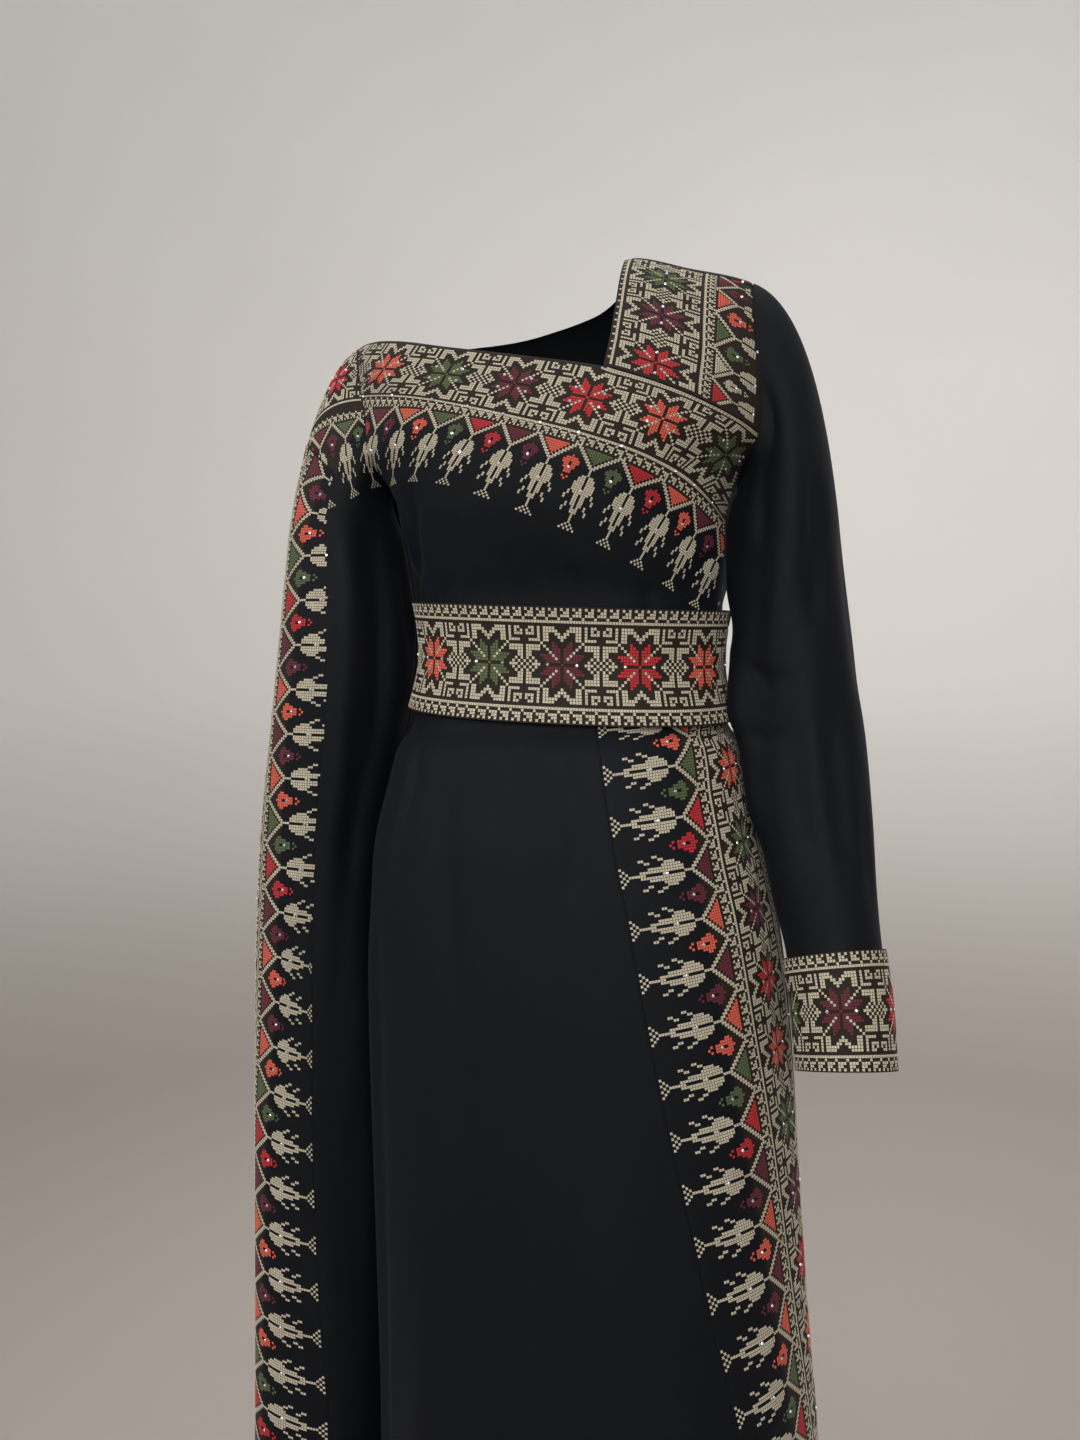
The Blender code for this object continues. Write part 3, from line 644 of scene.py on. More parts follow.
def thread(name, dark, light):
    """Twisted cotton in one colour, with the slight change from strand to strand."""
    made = Finish("thread_" + name, Sheen_Weight=0.12, Specular_IOR_Level=0.35)
    strand = made.noise(430.0, 1.0)
    cloud = made.noise(40.0, 2.0)
    along = made.node("TexCoord", {}, {}, "UV")
    twist = made.node("TexWave", {"wave_type": "BANDS", "bands_direction": "DIAGONAL"},
                      {"Vector": along, "Scale": 1.6, "Distortion": 0.4}, "Fac")
    made.set("Base Color", made.mix(strand * 0.62 + cloud * 0.22 + twist * 0.16, dark, light))
    made.set("Roughness", 0.52 + strand * 0.2)
    made.set("Normal", made.bump(twist, 0.5, 0.0001))
    return made.material


def stone():
    """Clear cut glass on foil."""
    made = Finish("cut_glass_stone", Metallic=0.85, Coat_Weight=1.0, Coat_Roughness=0.02)
    made.set("Base Color", made.mix(made.noise(900.0, 1.0), linear(196, 196, 200), linear(250, 250, 252)))
    made.set("Roughness", 0.06 + made.noise(700.0, 1.0) * 0.08)
    return made.material


CREPE = crepe()
STONE = stone()
CREAM, RED, ORANGE, MAROON, GREEN = range(5)
THREADS = [
    thread("cream", linear(150, 141, 118), linear(214, 204, 181)),
    thread("red", linear(146, 14, 28), linear(206, 34, 46)),
    thread("orange", linear(182, 66, 50), linear(232, 106, 80)),
    thread("maroon", linear(66, 8, 28), linear(108, 20, 44)),
    thread("green", linear(54, 68, 38), linear(94, 110, 68)),
]


# Building
def added(name, data):
    made = bpy.data.objects.new(name, data)
    bpy.context.scene.collection.objects.link(made)
    return made


def built(name, points, faces, materials):
    mesh = bpy.data.meshes.new(name)
    mesh.from_pydata(points, [], faces)
    for material in materials:
        mesh.materials.append(material)
    mesh.shade_smooth()
    return added(name, mesh)


def keep(name, points, faces, materials):
    made = built(name, points.tolist(), faces, materials)
    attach(made, "root")
    return made


def outward(points, closed):
    if closed:
        wrapped = np.concatenate((points[-2:-1], points, points[1:2]))
        along = wrapped[2:] - wrapped[:-2]
    else:
        along = np.gradient(points, axis=0)
    normal = np.cross(along, np.gradient(points, axis=1))
    return normal / np.maximum(np.linalg.norm(normal, axis=-1, keepdims=True), 1e-12)


def shares(count, length, start=0.0, end=1.0):
    """Even steps with close ones at both ends, where the cloth turns in at a seam."""
    close = np.array((0.0007, 0.0016, 0.0030)) / length
    steps = np.linspace(start, end, count + 1)
    return np.unique(np.concatenate((steps, start + close, end - close)))


def turned(points, height):
    """Let the cloth sink at its seams, along both sides and the top."""
    across, up = run_along(points), run_along(points.swapaxes(0, 1)).T
    for away in (across, across[-1] - across, up[:, -1:] - up):
        height = height - SEAM_DIP * np.exp(-(away / SEAM_ROUND) ** 2)
    return height


def hemmed(points):
    """Doubled cloth below the hem's stitching."""
    up = points[..., 2] - HEM_Z - HEM_TURN
    return HEM_STEP * (step(-up / 0.003) - np.exp(-(up / 0.0015) ** 2))


def turn_in(faces, normal, seams):
    """Add the cloth that is turned inward behind the seams at the grid's edges."""
    outer, inner = faces
    for axis, end, share in seams:
        order = (slice(None),) * axis
        edge, inside = order + (0 if end == 0 else -1,), order + (1 if end == 0 else -2,)
        run = outer[inside] - outer[edge]
        run = run / np.maximum(np.linalg.norm(run, axis=-1, keepdims=True), 1e-12)
        depth = ALLOWANCE * (share(outer[edge])[..., None] if callable(share) else share)
        behind = np.expand_dims(outer[edge] - normal[edge] * depth, axis)
        inner[edge] = inner[edge] + run * CLOTH
        thick = behind + np.expand_dims(run * CLOTH, axis)
        pad = np.expand_dims(normal[edge], axis)
        pairs = ((outer, behind), (inner, thick), (normal, pad))
        outer, inner, normal = [np.concatenate((b, a) if end == 0 else (a, b), axis=axis) for a, b in pairs]
    return outer, inner


def cloth(node, point, columns, rows, lines, stitched=None, closed=False, hem=False, left_out=None, seams=()):
    """A thin sheet on its solid's form; stitched gives the share of thread cover."""
    u, v = np.meshgrid(columns, rows, indexing="ij")
    base = point(u, v)
    normal = outward(base, closed)
    height = WALL + creased(lines, base)
    if not closed:
        height = turned(base, height)
    if hem:
        height = height + hemmed(base)
    outer = base + normal * height[..., None]
    outer, inner = turn_in((outer, outer - normal * CLOTH), normal, seams)
    cover = np.zeros(u.shape) if stitched is None else stitched(u, v, base)
    cells = np.ones((len(columns) - 1, len(rows) - 1), bool)
    if left_out is not None:
        cells &= ~left_out(u[:-1, :-1], u[1:, 1:], v[1:, 1:])
    for axis, end, share in seams:
        wide = [(0, 0), (0, 0)]
        wide[axis] = (1, 0) if end == 0 else (0, 1)
        cover, cells = np.pad(cover, wide, mode="edge"), np.pad(cells, wide, mode="edge")
    count_u, count_v = cells.shape[0] + (0 if closed else 1), cells.shape[1] + 1
    index = np.arange(count_u * count_v).reshape(count_u, count_v)
    if closed:
        index = np.concatenate((index, index[:1]))
    a, b, c, d = index[:-1, :-1], index[1:, :-1], index[1:, 1:], index[:-1, 1:]
    size = count_u * count_v
    outer, inner = outer[:count_u], inner[:count_u]
    quads = [np.stack((a, b, c, d), -1)[cells], np.stack((d, c, b, a), -1)[cells] + size]
    padded = np.pad(cells, 1)
    if closed:
        padded[0, 1:-1], padded[-1, 1:-1] = cells[-1], cells[0]
    beside = {(0, -1): (a, b), (1, 0): (b, c), (0, 1): (c, d), (-1, 0): (d, a)}
    for (du, dv), (first, second) in beside.items():
        neighbour = padded[1 + du:padded.shape[0] - 1 + du, 1 + dv:padded.shape[1] - 1 + dv]
        rim = cells & ~neighbour
        quads.append(np.stack((second, first, first + size, second + size), -1)[rim])
    quads = np.concatenate(quads)
    points = np.concatenate((outer.reshape(-1, 3), inner.reshape(-1, 3)))
    used, quads = np.unique(quads, return_inverse=True)
    made = keep(node + "_cloth", points[used], quads.reshape(-1, 4).tolist(), [CREPE])
    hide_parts(node)
    made.data.set_sharp_from_angle(angle=math.radians(50.0))
    cover = np.tile(cover[:count_u].reshape(-1), 2)[used]
    made.data.attributes.new("stitched", "FLOAT", "POINT").data.foreach_set("value", cover)
    return made


def on_cloth(base, lines, side=1, hem=False):
    """Corners of a stitched field on the outer face, with their normals."""
    normal = side * outward(base, False)
    height = WALL + THREAD_LIFT + creased(lines, base)
    if hem:
        height = height + hemmed(base)
    return base + normal * height[..., None], normal


def stitch(name, fields):
    """Cross stitches as one mesh; a field is its corners, normals, threads and first counts."""
    points, faces, colours, uvs, count = [], [], [], [], 0
    for corners, normals, threads, _ in fields:
        use = threads >= 0
        p00, p10 = corners[:-1, :-1][use], corners[1:, :-1][use]
        p01, p11 = corners[:-1, 1:][use], corners[1:, 1:][use]
        up = normals[:-1, :-1][use]
        s = THREAD_SIDE

        def at(across, along):
            low = p00 + (p10 - p00) * across
            return low + (p01 + (p11 - p01) * across - low) * along

        legs = ((at(s, 0), at(1, 1 - s), at(0, s), at(1 - s, 1), 0.0),
                (at(1, s), at(s, 1), at(1 - s, 0), at(0, 1 - s), THREAD_CROSS))
        for a0, a1, b0, b1, lift in legs:
            lifted = up * (THREAD_HEIGHT + lift)
            leg = np.stack((a0 + up * lift, a1 + up * lift, 0.5 * (a0 + b0) + lifted,
                            0.5 * (a1 + b1) + lifted, b0 + up * lift, b1 + up * lift), axis=1)
            points.append(leg.reshape(-1, 3))
            first = count + 6 * np.arange(len(leg))[:, None]
            faces.append(np.concatenate((first + (0, 1, 3, 2), first + (2, 3, 5, 4)), axis=1).reshape(-1, 4))
            colours.append(np.repeat(threads[use], 2))
            one = ((0, 0), (1, 0), (1, 0.5), (0, 0.5), (0, 0.5), (1, 0.5), (1, 1), (0, 1))
            uvs.append(np.tile(np.array(one, float), (len(leg), 1)))
            count += 6 * len(leg)
    points, faces, colours = np.concatenate(points), np.concatenate(faces), np.concatenate(colours)
    made = keep(name, points, faces.tolist(), THREADS)
    made.data.polygons.foreach_set("material_index", colours.astype(np.int32))
    layer = made.data.uv_layers.new(name="thread")
    layer.data.foreach_set("uv", np.concatenate(uvs).ravel())
    return made


RINGS = ((0.00145, -0.0001, 0.0), (0.00135, 0.0005, 0.0), (0.00080, 0.0012, 22.5))  # radius, height, turn


def set_stones(name, places):
    """Faceted stones, eight sided; a place is a point and its normal."""
    points, faces = [], []
    turn = np.radians(np.arange(8) * 45.0)
    for k, (centre, up) in enumerate(places):
        side = np.cross(up, (0.31, 0.22, 0.93))
        side /= np.linalg.norm(side)
        other = np.cross(up, side)
        first = len(points)
        for radius, height, offset in RINGS:
            for a in turn + math.radians(offset + 17.0 * k):
                points.append(centre + radius * (math.cos(a) * side + math.sin(a) * other) + height * up)
        for ring in (first, first + 8):
            for i in range(8):
                j = (i + 1) % 8
                faces.append((ring + i, ring + j, ring + 8 + j, ring + 8 + i))
        faces.append([first + 16 + i for i in range(8)])
    made = keep(name, np.array(points), faces, [STONE])
    made.data.shade_flat()
    return made


# Charts, one letter a stitch: k is the motif's colour, c is cream
NONE, MOTIF, BEFORE = -1, 10, 11
STAR_EVERY = 26          # stitches from star to star
TREE_EVERY = 18
TIP = 25                 # column of the zigzag's points, counted from the trees' tails
LINE = 39.5              # edge between the trees' border and the stars'
STAR_COLUMN = 53         # middle of the stars behind the trees


def chart(*rows):
    return np.array([[{"k": MOTIF, "c": CREAM, ".": NONE}[letter] for letter in row] for row in rows])


STAR = chart(
    "k.......ccc.c.", ".kkkkk...c.c.c", ".kckkkk...c.c.", ".kkckkkk...cc.", ".kkkc......cc.",
    ".kkk.c..ccccc.", "..kk..c.ccccc.", "...k...c......", "c....cc.cccc..", "cc...cc.c.....",
    ".cc..cc.c.ccc.", "..ccccc.c.c.c.", "...cccc.c.cc..")
EDGING = chart("....", "cccc", "...c", "ccc.", ".cc.", "c.c.")
FLOWER = ("k..kk...kkk", ".k.kkkkkkk.", ".....kkkkk.", ".......kk..")
TRUNK = ((3, 0), (4, 0), (5, 0), (6, 0), (7, 0), (8, 0), (15, 0), (23, 0), (24, 0))
TAIL = ((0, 1), (0, 3), (1, 0), (1, 2), (2, 1))
LEAVES = ((7, 5), (8, 5), (9, 4), (10, 4), (12, 6), (13, 6), (14, 5), (15, 5))
CROWN = ((1, 7, 23), (2, 10, 23), (3, 15, 22), (4, 16, 20))  # row, first column, end


def tree_chart():
    """Columns from the tail to the gap above the triangles, rows -9 to 9 about the trunk."""
    made = np.full((35, 19), NONE)
    marks = list(TRUNK + TAIL + LEAVES)
    marks += [(column, row) for row, first, end in CROWN for column in range(first, end)]
    marks += [(TIP + start + row, row) for start in (0, 1) for row in range(9)]
    for column, row in marks:
        for side in (-1, 1):
            made[column, 9 + side * row] = CREAM
    made[34, 0] = made[34, 18] = CREAM
    for row in range(-5, 6):
        made[28 + abs(row):34, 9 + row] = MOTIF
    for away, row in enumerate(FLOWER):
        for k, letter in enumerate(row):
            if letter == "k":
                made[19 + k, 18 - away] = MOTIF
                made[19 + k, away] = BEFORE
    return made


TREE = tree_chart()


def edging_cells(away, along):
    """Rows 13 to 18 outside the stars."""
    return EDGING[np.clip(away, 13, 18) - 13, along % 4]


def star_cells(along, away, colours, first=0):
    """Stars along the band; away counts from their middle."""
    away = np.abs(away)
    half = STAR_EVERY // 2
    cells = STAR[np.minimum(away, 12), np.abs((along + half) % STAR_EVERY - half)]
    colour = np.array(colours)[((along + half) // STAR_EVERY - first) % len(colours)]
    cells = np.where(cells == MOTIF, colour, cells)
    return np.where(away <= 12, cells, edging_cells(away, along))


def tree_cells(column, row, colours):
    """Trees with their triangles and flowers, then the teeth and the line."""
    half = TREE_EVERY // 2
    number = (row + half) // TREE_EVERY
    cells = TREE[np.clip(column, 0, 34), (row + half) % TREE_EVERY]
    own, before = (np.array(colours)[(number - k) % len(colours)] for k in (0, 1))
    cells = np.where(cells == MOTIF, own, np.where(cells == BEFORE, before, cells))
    cells = np.where(column > 34, edging_cells(STAR_COLUMN - column, row), cells)
    return np.where(column < 0, NONE, cells)


def counted(first, end, low, high, shift=0.5):
    """Corners and stitches of a field, counted along two directions."""
    corners = np.meshgrid(np.arange(first, end + 1) - shift, np.arange(low, high + 1) - 0.5, indexing="ij")
    return corners, np.meshgrid(np.arange(first, end), np.arange(low, high), indexing="ij")


def middle(corners):
    return 0.25 * (corners[:-1, :-1] + corners[1:, :-1] + corners[:-1, 1:] + corners[1:, 1:])


# Belt and cuff
BAND_ROWS = (-18, 19)
BAND_HEIGHT = 37.7       # stitches from edge to edge
BELT_STARS = (-0.1095, -0.0480, 0.0140, 0.0765, 0.1385)   # length along the belt
BELT_ROUND = 8           # gaps between the stars round the back
BELT_COLOURS = (ORANGE, GREEN, MAROON, RED)
CUFF_FIRST = 0.0655      # from the outer side to the middle of the front star
CUFF_COLOURS = (MAROON, GREEN, ORANGE, RED)


def around(point, samples=1440):
    """Length along the middle of a band for each share of a turn, and round it once."""
    share = np.linspace(-1.0, 2.0, 3 * samples + 1)
    run = run_along(point(share, np.full(share.shape, 0.5)))
    run -= np.interp(0.0, share, run)
    return share, run, np.interp(1.0, share, run)


def band_field(point, turn, marks, columns, lines, side, colours, first):
    """Stars round a band; a mark is a count of stitches and its length along the band."""
    share, run, _ = turn
    (along, away), cells = counted(*columns, *BAND_ROWS)
    u = np.interp(np.interp(along, *np.array(marks).T), run, share)
    corners, normals = on_cloth(point(u, 0.5 + away / BAND_HEIGHT), lines, side)
    return corners, normals, star_cells(*cells, colours, first), (columns[0], BAND_ROWS[0])


def belt_field():
    turn = around(belt_point)
    whole = turn[2]
    lengths = list(BELT_STARS)
    spare = whole - lengths[-1] + lengths[0]
    lengths += [lengths[-1] + spare * k / BELT_ROUND for k in range(1, BELT_ROUND)]
    marks = [(STAR_EVERY * (k - 2 + lap * len(lengths)), length + lap * whole)
             for lap in (-1, 0, 1) for k, length in enumerate(lengths)]
    return band_field(belt_point, turn, marks, (-169, 143), belt_lines, 1, BELT_COLOURS, -2)


def cuff_field():
    def point(u, v):
        return cuff_point(1.0 - u, v)
    turn = around(point)
    marks = ((-52, -0.5 * turn[2]), (-26, -0.056), (0, 0.0), (26, 0.050), (52, 0.5 * turn[2]))
    marks = [(k, CUFF_FIRST + length) for k, length in marks]
    return band_field(point, turn, marks, (-52, 52), (), -1, CUFF_COLOURS, 0)


# Skirt side panel
PANEL_ROW = 0.00226
PANEL_COLUMN = 0.00230
PANEL_START = 0.0004
PANEL_COLUMNS = 72
PANEL_LEVEL = -0.4247    # middle of the first tree
PANEL_TILT = metres((  # z, share of the rows' tilt square to the seam
    (-1400, 0.46), (-885, 0.56), (-722, 0.7), (-640, 1.1), (-565, 1.45), (-417, 1.38), (-320, 1.3)), 0, 1)
PANEL_TREES = (GREEN, RED, MAROON, ORANGE, MAROON, ORANGE)
PANEL_STARS = (ORANGE, GREEN, MAROON, RED)


def trees_and_stars(column, row, trees, stars, star_row):
    cells = star_cells(row - star_row, column - STAR_COLUMN, stars)
    return np.where(column > LINE, cells, tree_cells(column, row, trees))


def degree(angle, level):
    """Metres along the skirt for one degree."""
    return np.linalg.norm(skirt_at(angle + 0.5, level) - skirt_at(angle - 0.5, level), axis=1)


def panel_field():
    """Rows start on the seam and run up to the wearer's left."""
    z = np.linspace(WAIST_Z - 0.004, HEM_Z + 0.001, 1200)
    run = run_along(skirt_at(seam_angle(z, SEAM), z))
    run -= np.interp(-PANEL_LEVEL, -z, run)
    rows = np.arange(math.ceil(run[0] / PANEL_ROW), math.floor(run[-1] / PANEL_ROW))
    down = (rows - 0.5 + 0.10 * np.maximum(rows - 165.0, 0.0)) * PANEL_ROW
    level = np.interp(down, run, z)
    spare = np.maximum(down - run[-1], 0.0)
    angle = seam_angle(level, SEAM)
    slope = (seam_angle(level + 0.004, SEAM) - seam_angle(level - 0.004, SEAM)) / 0.008
    metre = degree(angle, level)
    tilt = -slope * metre * curve(PANEL_TILT, 1, level)
    side, up = 1.0 / np.sqrt(1.0 + tilt ** 2), tilt / np.sqrt(1.0 + tilt ** 2)
    level = level - spare * side
    angle = angle + spare * up / metre
    grid = []
    for move in (PANEL_START,) + (PANEL_COLUMN,) * PANEL_COLUMNS:
        angle, level = angle + move * side / degree(angle, level), level + move * up
        grid.append(np.stack((angle, level), -1))
    grid = np.array(grid)
    corners, normals = on_cloth(skirt_at(grid[..., 0], grid[..., 1]), skirt_lines, side=-1, hem=True)
    column, row = np.meshgrid(np.arange(PANEL_COLUMNS), rows[:-1], indexing="ij")
    cells = trees_and_stars(column, row, PANEL_TREES, PANEL_STARS, 5)
    angle, z = np.moveaxis(middle(grid), -1, 0)
    inside = (z > HEM_Z + 0.003) & (z < WAIST_Z - 0.004) & (angle < back_seam_angle(z) - 1.0)
    return corners, normals, np.where(inside, cells, NONE), (0, rows[0])


# Strip of the cape sleeve
STRIP_VERTEX = metres((  # z, angle of the zigzag's points
    (-1400, 55), (-1000, 58), (-900, 60.5), (-799, 64), (-758, 66.4), (-717, 70), (-674, 74.4),
    (-600, 78.5), (-530, 80.5), (-472, 79), (-432, 75.5), (-392, 72.2), (-352, 70.6),
    (-313, 71.4), (-273, 73.4), (-235, 77), (-195, 83), (-155, 89)), 0, 1)
STRIP_TREES = metres((  # number of the tree, z
    (1, -234.8), (7, -471.7), (12, -674.3), (15, -798.8), (30, -1410.8)), 1)
STRIP_TREE = 0.0394
STRIP_OUT = 0.00285      # widest columns, between the zigzag and the stars
STRIP_IN = 0.00225
STRIP_EDGE = 0.00222
STRIP_COLUMNS = 72
STRIP_COLOURS = (ORANGE, GREEN, RED, MAROON, ORANGE, MAROON)
STRIP_STARS = (RED, ORANGE, GREEN, MAROON)


def strip_field():
    """Columns are set out from the zigzag's points, rows go down the sleeve."""
    rows = np.arange(-40, 545)
    number = (rows - 0.5) / TREE_EVERY
    level = curve(STRIP_TREES, 1, number)
    share = CAPE_HEAD_START * (level - HEM_Z) / (HEAD_Z - HEM_Z)
    above = np.linspace(float(share.max()), 0.93, 200)
    spare = np.maximum(1.0 - number, 0.0) * STRIP_TREE
    climb = np.interp(spare, run_along(cape_at(np.full(200, 75.0), above)), above)
    share = np.where(number < 1.0, climb, share)
    level = level + spare
    use = (share < 0.905) & (share > 0.0002)
    rows, level, share = rows[use], level[use], share[use]
    sweep = np.arange(CAPE_STRIP_BACK - 4.0, 125.0, 1.0)
    arc = run_along(cape_at(*np.meshgrid(sweep, share, indexing="ij")))
    column = np.arange(STRIP_COLUMNS + 1)
    easing = step((column - 19.0) / 12.0)
    eased = easing[:TIP].sum()
    vertex, seam = curve(STRIP_VERTEX, 1, level), strip_seam(share)
    grid = np.zeros((STRIP_COLUMNS + 1, len(share), 2))
    for r in range(len(share)):
        at_vertex, at_seam = np.interp((vertex[r], seam[r]), sweep, arc[:, r])
        fitted = (at_seam - at_vertex - 0.001 - STRIP_OUT * eased) / (TIP - eased)
        low = step((-0.45 - level[r]) / 0.17)
        inner = (1.0 - low) * STRIP_IN + low * fitted
        pitch = np.where(column < 36, inner + (STRIP_OUT - inner) * easing, STRIP_EDGE)
        away = np.concatenate(((0.0,), np.cumsum(pitch)))[:-1]
        drop = (0.002 + 0.007 * low) * np.maximum(TIP - column, 0.0) / TIP
        grid[:, r, 0] = np.interp(at_vertex + away[TIP] - away, arc[:, r], sweep)
        grid[:, r, 1] = share[r] - drop * CAPE_HEAD_START / (HEAD_Z - HEM_Z)
    corners, normals = on_cloth(cape_at(grid[..., 0], grid[..., 1]), cape_lines, hem=True)
    column, row = np.meshgrid(column[:-1], rows[:-1], indexing="ij")
    cells = trees_and_stars(column, row, STRIP_COLOURS, STRIP_STARS, 4)
    angle, v = np.moveaxis(middle(grid), -1, 0)
    inside = (angle < strip_seam(v) - 0.6) & (angle > CAPE_STRIP_BACK + 2.0)
    inside &= (v > 0.003) & (v < STRIP_TOP - 0.0016)
    return corners, normals, np.where(inside, cells, NONE), (0, rows[0])


# Border along the slanting neckline
CHEST_STARS = metres((  # stitch along the band, top x, middle x, middle z, line x, line z
    (-26, -172, -190, -50, -212, -65), (0, -112, -128, -75.5, -154, -91.5),
    (26, -48, -59, -97, -71.5, -118), (52, 11.2, 2.2, -112.8, -9.2, -137.5),
    (78, 69, 60.8, -128.5, 49.2, -154.5), (104, 125.6, 117.8, -144.2, 106, -173),
    (130, 186, 162.5, -161.2, 133.8, -186.5), (156, 208, 179, -192, 156, -207),
    (182, 220, 195, -226, 172, -235)), 1)
CHEST_COLOURS = (ORANGE, GREEN, MAROON, RED)
CHEST_TREES = metres((  # tree, tail x, tail z, zigzag point x, z, line x, z
    (-2, -196, -160, -170, -120, -156, -91), (-1, -154.5, -170, -132.5, -131, -120, -103.5),
    (0, -120.8, -174.6, -99.1, -135.8, -87, -113.5), (1, -92.5, -180, -64.8, -144.6, -50, -124.5),
    (2, -60.5, -187.5, -31.8, -154, -16.5, -134), (3, -25, -201, 0.1, -165, 14, -143),
    (4, 9.2, -215.2, 31.2, -176.5, 43.2, -152), (5, 42, -229, 63, -186.5, 75.2, -162.5),
    (6, 70, -242, 93, -199, 106, -173.8), (7, 94.3, -256.7, 119, -213.5, 132, -187.2),
    (8, 117, -272, 138, -228, 149, -200.5), (9, 135.8, -286.3, 154, -242, 163, -216),
    (10, 153, -296, 166, -254, 172, -233), (11, 166, -306, 175, -266, 179, -250)), 1)
CHEST_TREE_COLOURS = (
    ORANGE, GREEN, RED, MAROON, ORANGE, GREEN, RED, ORANGE, MAROON, ORANGE, GREEN, RED, RED, MAROON)


def on_chest(x, z):
    """Stitched corners on the front, and where they lie within its panel."""
    low, high = sides(z, *FRONT_EDGES)
    base = body_point(np.clip(x, low + 0.0002, high - 0.0002), z, -1)
    corners, normals = on_cloth(base, bodice_lines, side=-1)
    x, z = middle(x), middle(z)
    low, high = sides(z, *FRONT_EDGES)
    edge = 0.0013 + 0.0026 * step((-0.02 - x) / 0.10)
    return corners, normals, (x > low + 0.0015) & (x < high - 0.0015) & (z < curve(NECKLINE, 1, x) - edge)


def chest_star_field():
    (along, away), cells = counted(-34, 183, -16, 15)
    top_x, mid_x, mid_z, low_x, low_z = curves(CHEST_STARS, along)
    top_z = curve(NECKLINE, 1, top_x) - 0.0014
    high = 13.5 + 2.0 * step((along - 74.0) / 10.0)
    low = 14.0
    at_top = away * (away - low) / (high * (high + low))
    at_middle = (away + high) * (low - away) / (high * low)
    at_line = away * (away + high) / (low * (low + high))
    x = at_top * top_x + at_middle * mid_x + at_line * low_x
    z = at_top * top_z + at_middle * mid_z + at_line * low_z
    corners, normals, inside = on_chest(x, z)
    along, away = cells
    cells = star_cells(along, away, CHEST_COLOURS)
    seam_rows = (away == -14) | (away == -15)
    cells = np.where(seam_rows, np.where(along > 78, CREAM, NONE), cells)
    return corners, normals, np.where(inside & (away > -16), cells, NONE), (-34, -16)


def chest_tree_field():
    (column, row), cells = counted(0, 39, -44, 203, shift=0.0)
    tail_x, tail_z, tip_x, tip_z, line_x, line_z = curves(CHEST_TREES, row / TREE_EVERY)
    low = np.minimum(column / TIP, 1.0)
    high = np.maximum((column - TIP) / (LINE - TIP), 0.0)
    x = tail_x + (tip_x - tail_x) * low + (line_x - tip_x) * high
    z = tail_z + (tip_z - tail_z) * low + (line_z - tip_z) * high
    corners, normals, inside = on_chest(x, z)
    return corners, normals, np.where(inside, tree_cells(*cells, CHEST_TREE_COLOURS), NONE), (0, -44)


# Head of the cape sleeve, set out in metres on the cloth
HEAD_LENGTH = metres((  # angle, metres for each share of the sleeve
    (-26, 1020), (0, 1013), (40, 937), (60, 844), (80, 720), (95, 613), (120, 434), (150, 330)), 1)
HEAD_DEGREE = 0.00102
HEAD_STAR = np.array((0.0388, 0.0620))
HEAD_ALONG, HEAD_AWAY = 0.00233 * np.array((0.68, 0.73)), 0.0021 * np.array((0.73, -0.68))
HEAD_POINT = np.array((0.0960, 0.0290))
HEAD_COLUMN, HEAD_ROW = 0.00176 * np.array((-0.69, 0.73)), 0.00183 * np.array((0.73, 0.69))


def on_head(flat):
    angle = flat[..., 0] / HEAD_DEGREE
    v = STRIP_TOP + flat[..., 1] / curve(HEAD_LENGTH, 1, angle)
    corners, normals = on_cloth(cape_at(angle, np.clip(v, 0.80, 1.0)), cape_lines, side=-1)
    angle, v = middle(angle), middle(v)
    inside = (v < 0.9975) & (angle > CAPE_STRIP_BACK + 2.0) & (v > 0.84)
    over_strip = angle < strip_seam(np.minimum(v, STRIP_TOP)) + 1.2
    return corners, normals, inside & ~(over_strip & (v < STRIP_TOP + 0.0022))


def head_star_field():
    (along, away), cells = counted(-62, 29, -22, 15)
    flat = HEAD_STAR + along[..., None] * HEAD_ALONG + away[..., None] * HEAD_AWAY
    corners, normals, inside = on_head(flat)
    along, away = cells
    cells = star_cells(along, away, (RED, ORANGE, GREEN, MAROON))
    return corners, normals, np.where(inside & (away > -19), cells, NONE), (-62, -22)


def head_tree_field():
    (column, row), cells = counted(0, 39, -50, 43, shift=0.0)
    flat = HEAD_POINT + (column[..., None] - TIP) * HEAD_COLUMN + row[..., None] * HEAD_ROW
    corners, normals, inside = on_head(flat)
    return corners, normals, np.where(inside, tree_cells(*cells, (GREEN, RED, MAROON)), NONE), (0, -50)


# Shoulder strap
STRAP_STARS = (  # stitch, share of the length
    (-26, 1.050), (0, 0.710), (26, 0.380), (52, 0.086), (78, -0.200))
STRAP_TREES = (  # number of the tree, share of the length
    (-1, 1.150), (0, 0.870), (1, 0.660), (2, 0.410), (3, 0.205), (4, 0.055), (5, -0.090))
STRAP_OUTER = (  # v, u of the outer line, u of the zigzag's points
    (0.0, 0.608, 0.818), (0.070, 0.611, 0.820), (0.221, 0.630, 0.832), (0.321, 0.640, 0.850),
    (0.475, 0.643, 0.878), (0.731, 0.647, 0.898), (0.846, 0.648, 0.905), (1.0, 0.650, 0.910))
STRAP_INNER = 0.045


def on_strap(u, v):
    corners, normals = on_cloth(strap_point(np.clip(u, 0.0, 1.0), np.clip(v, 0.0, 1.0)), ())
    u, v = middle(u), middle(v)
    return corners, normals, (u > 0.012) & (u < 0.984) & (v > 0.012) & (v < 0.952 + 0.03 * u)


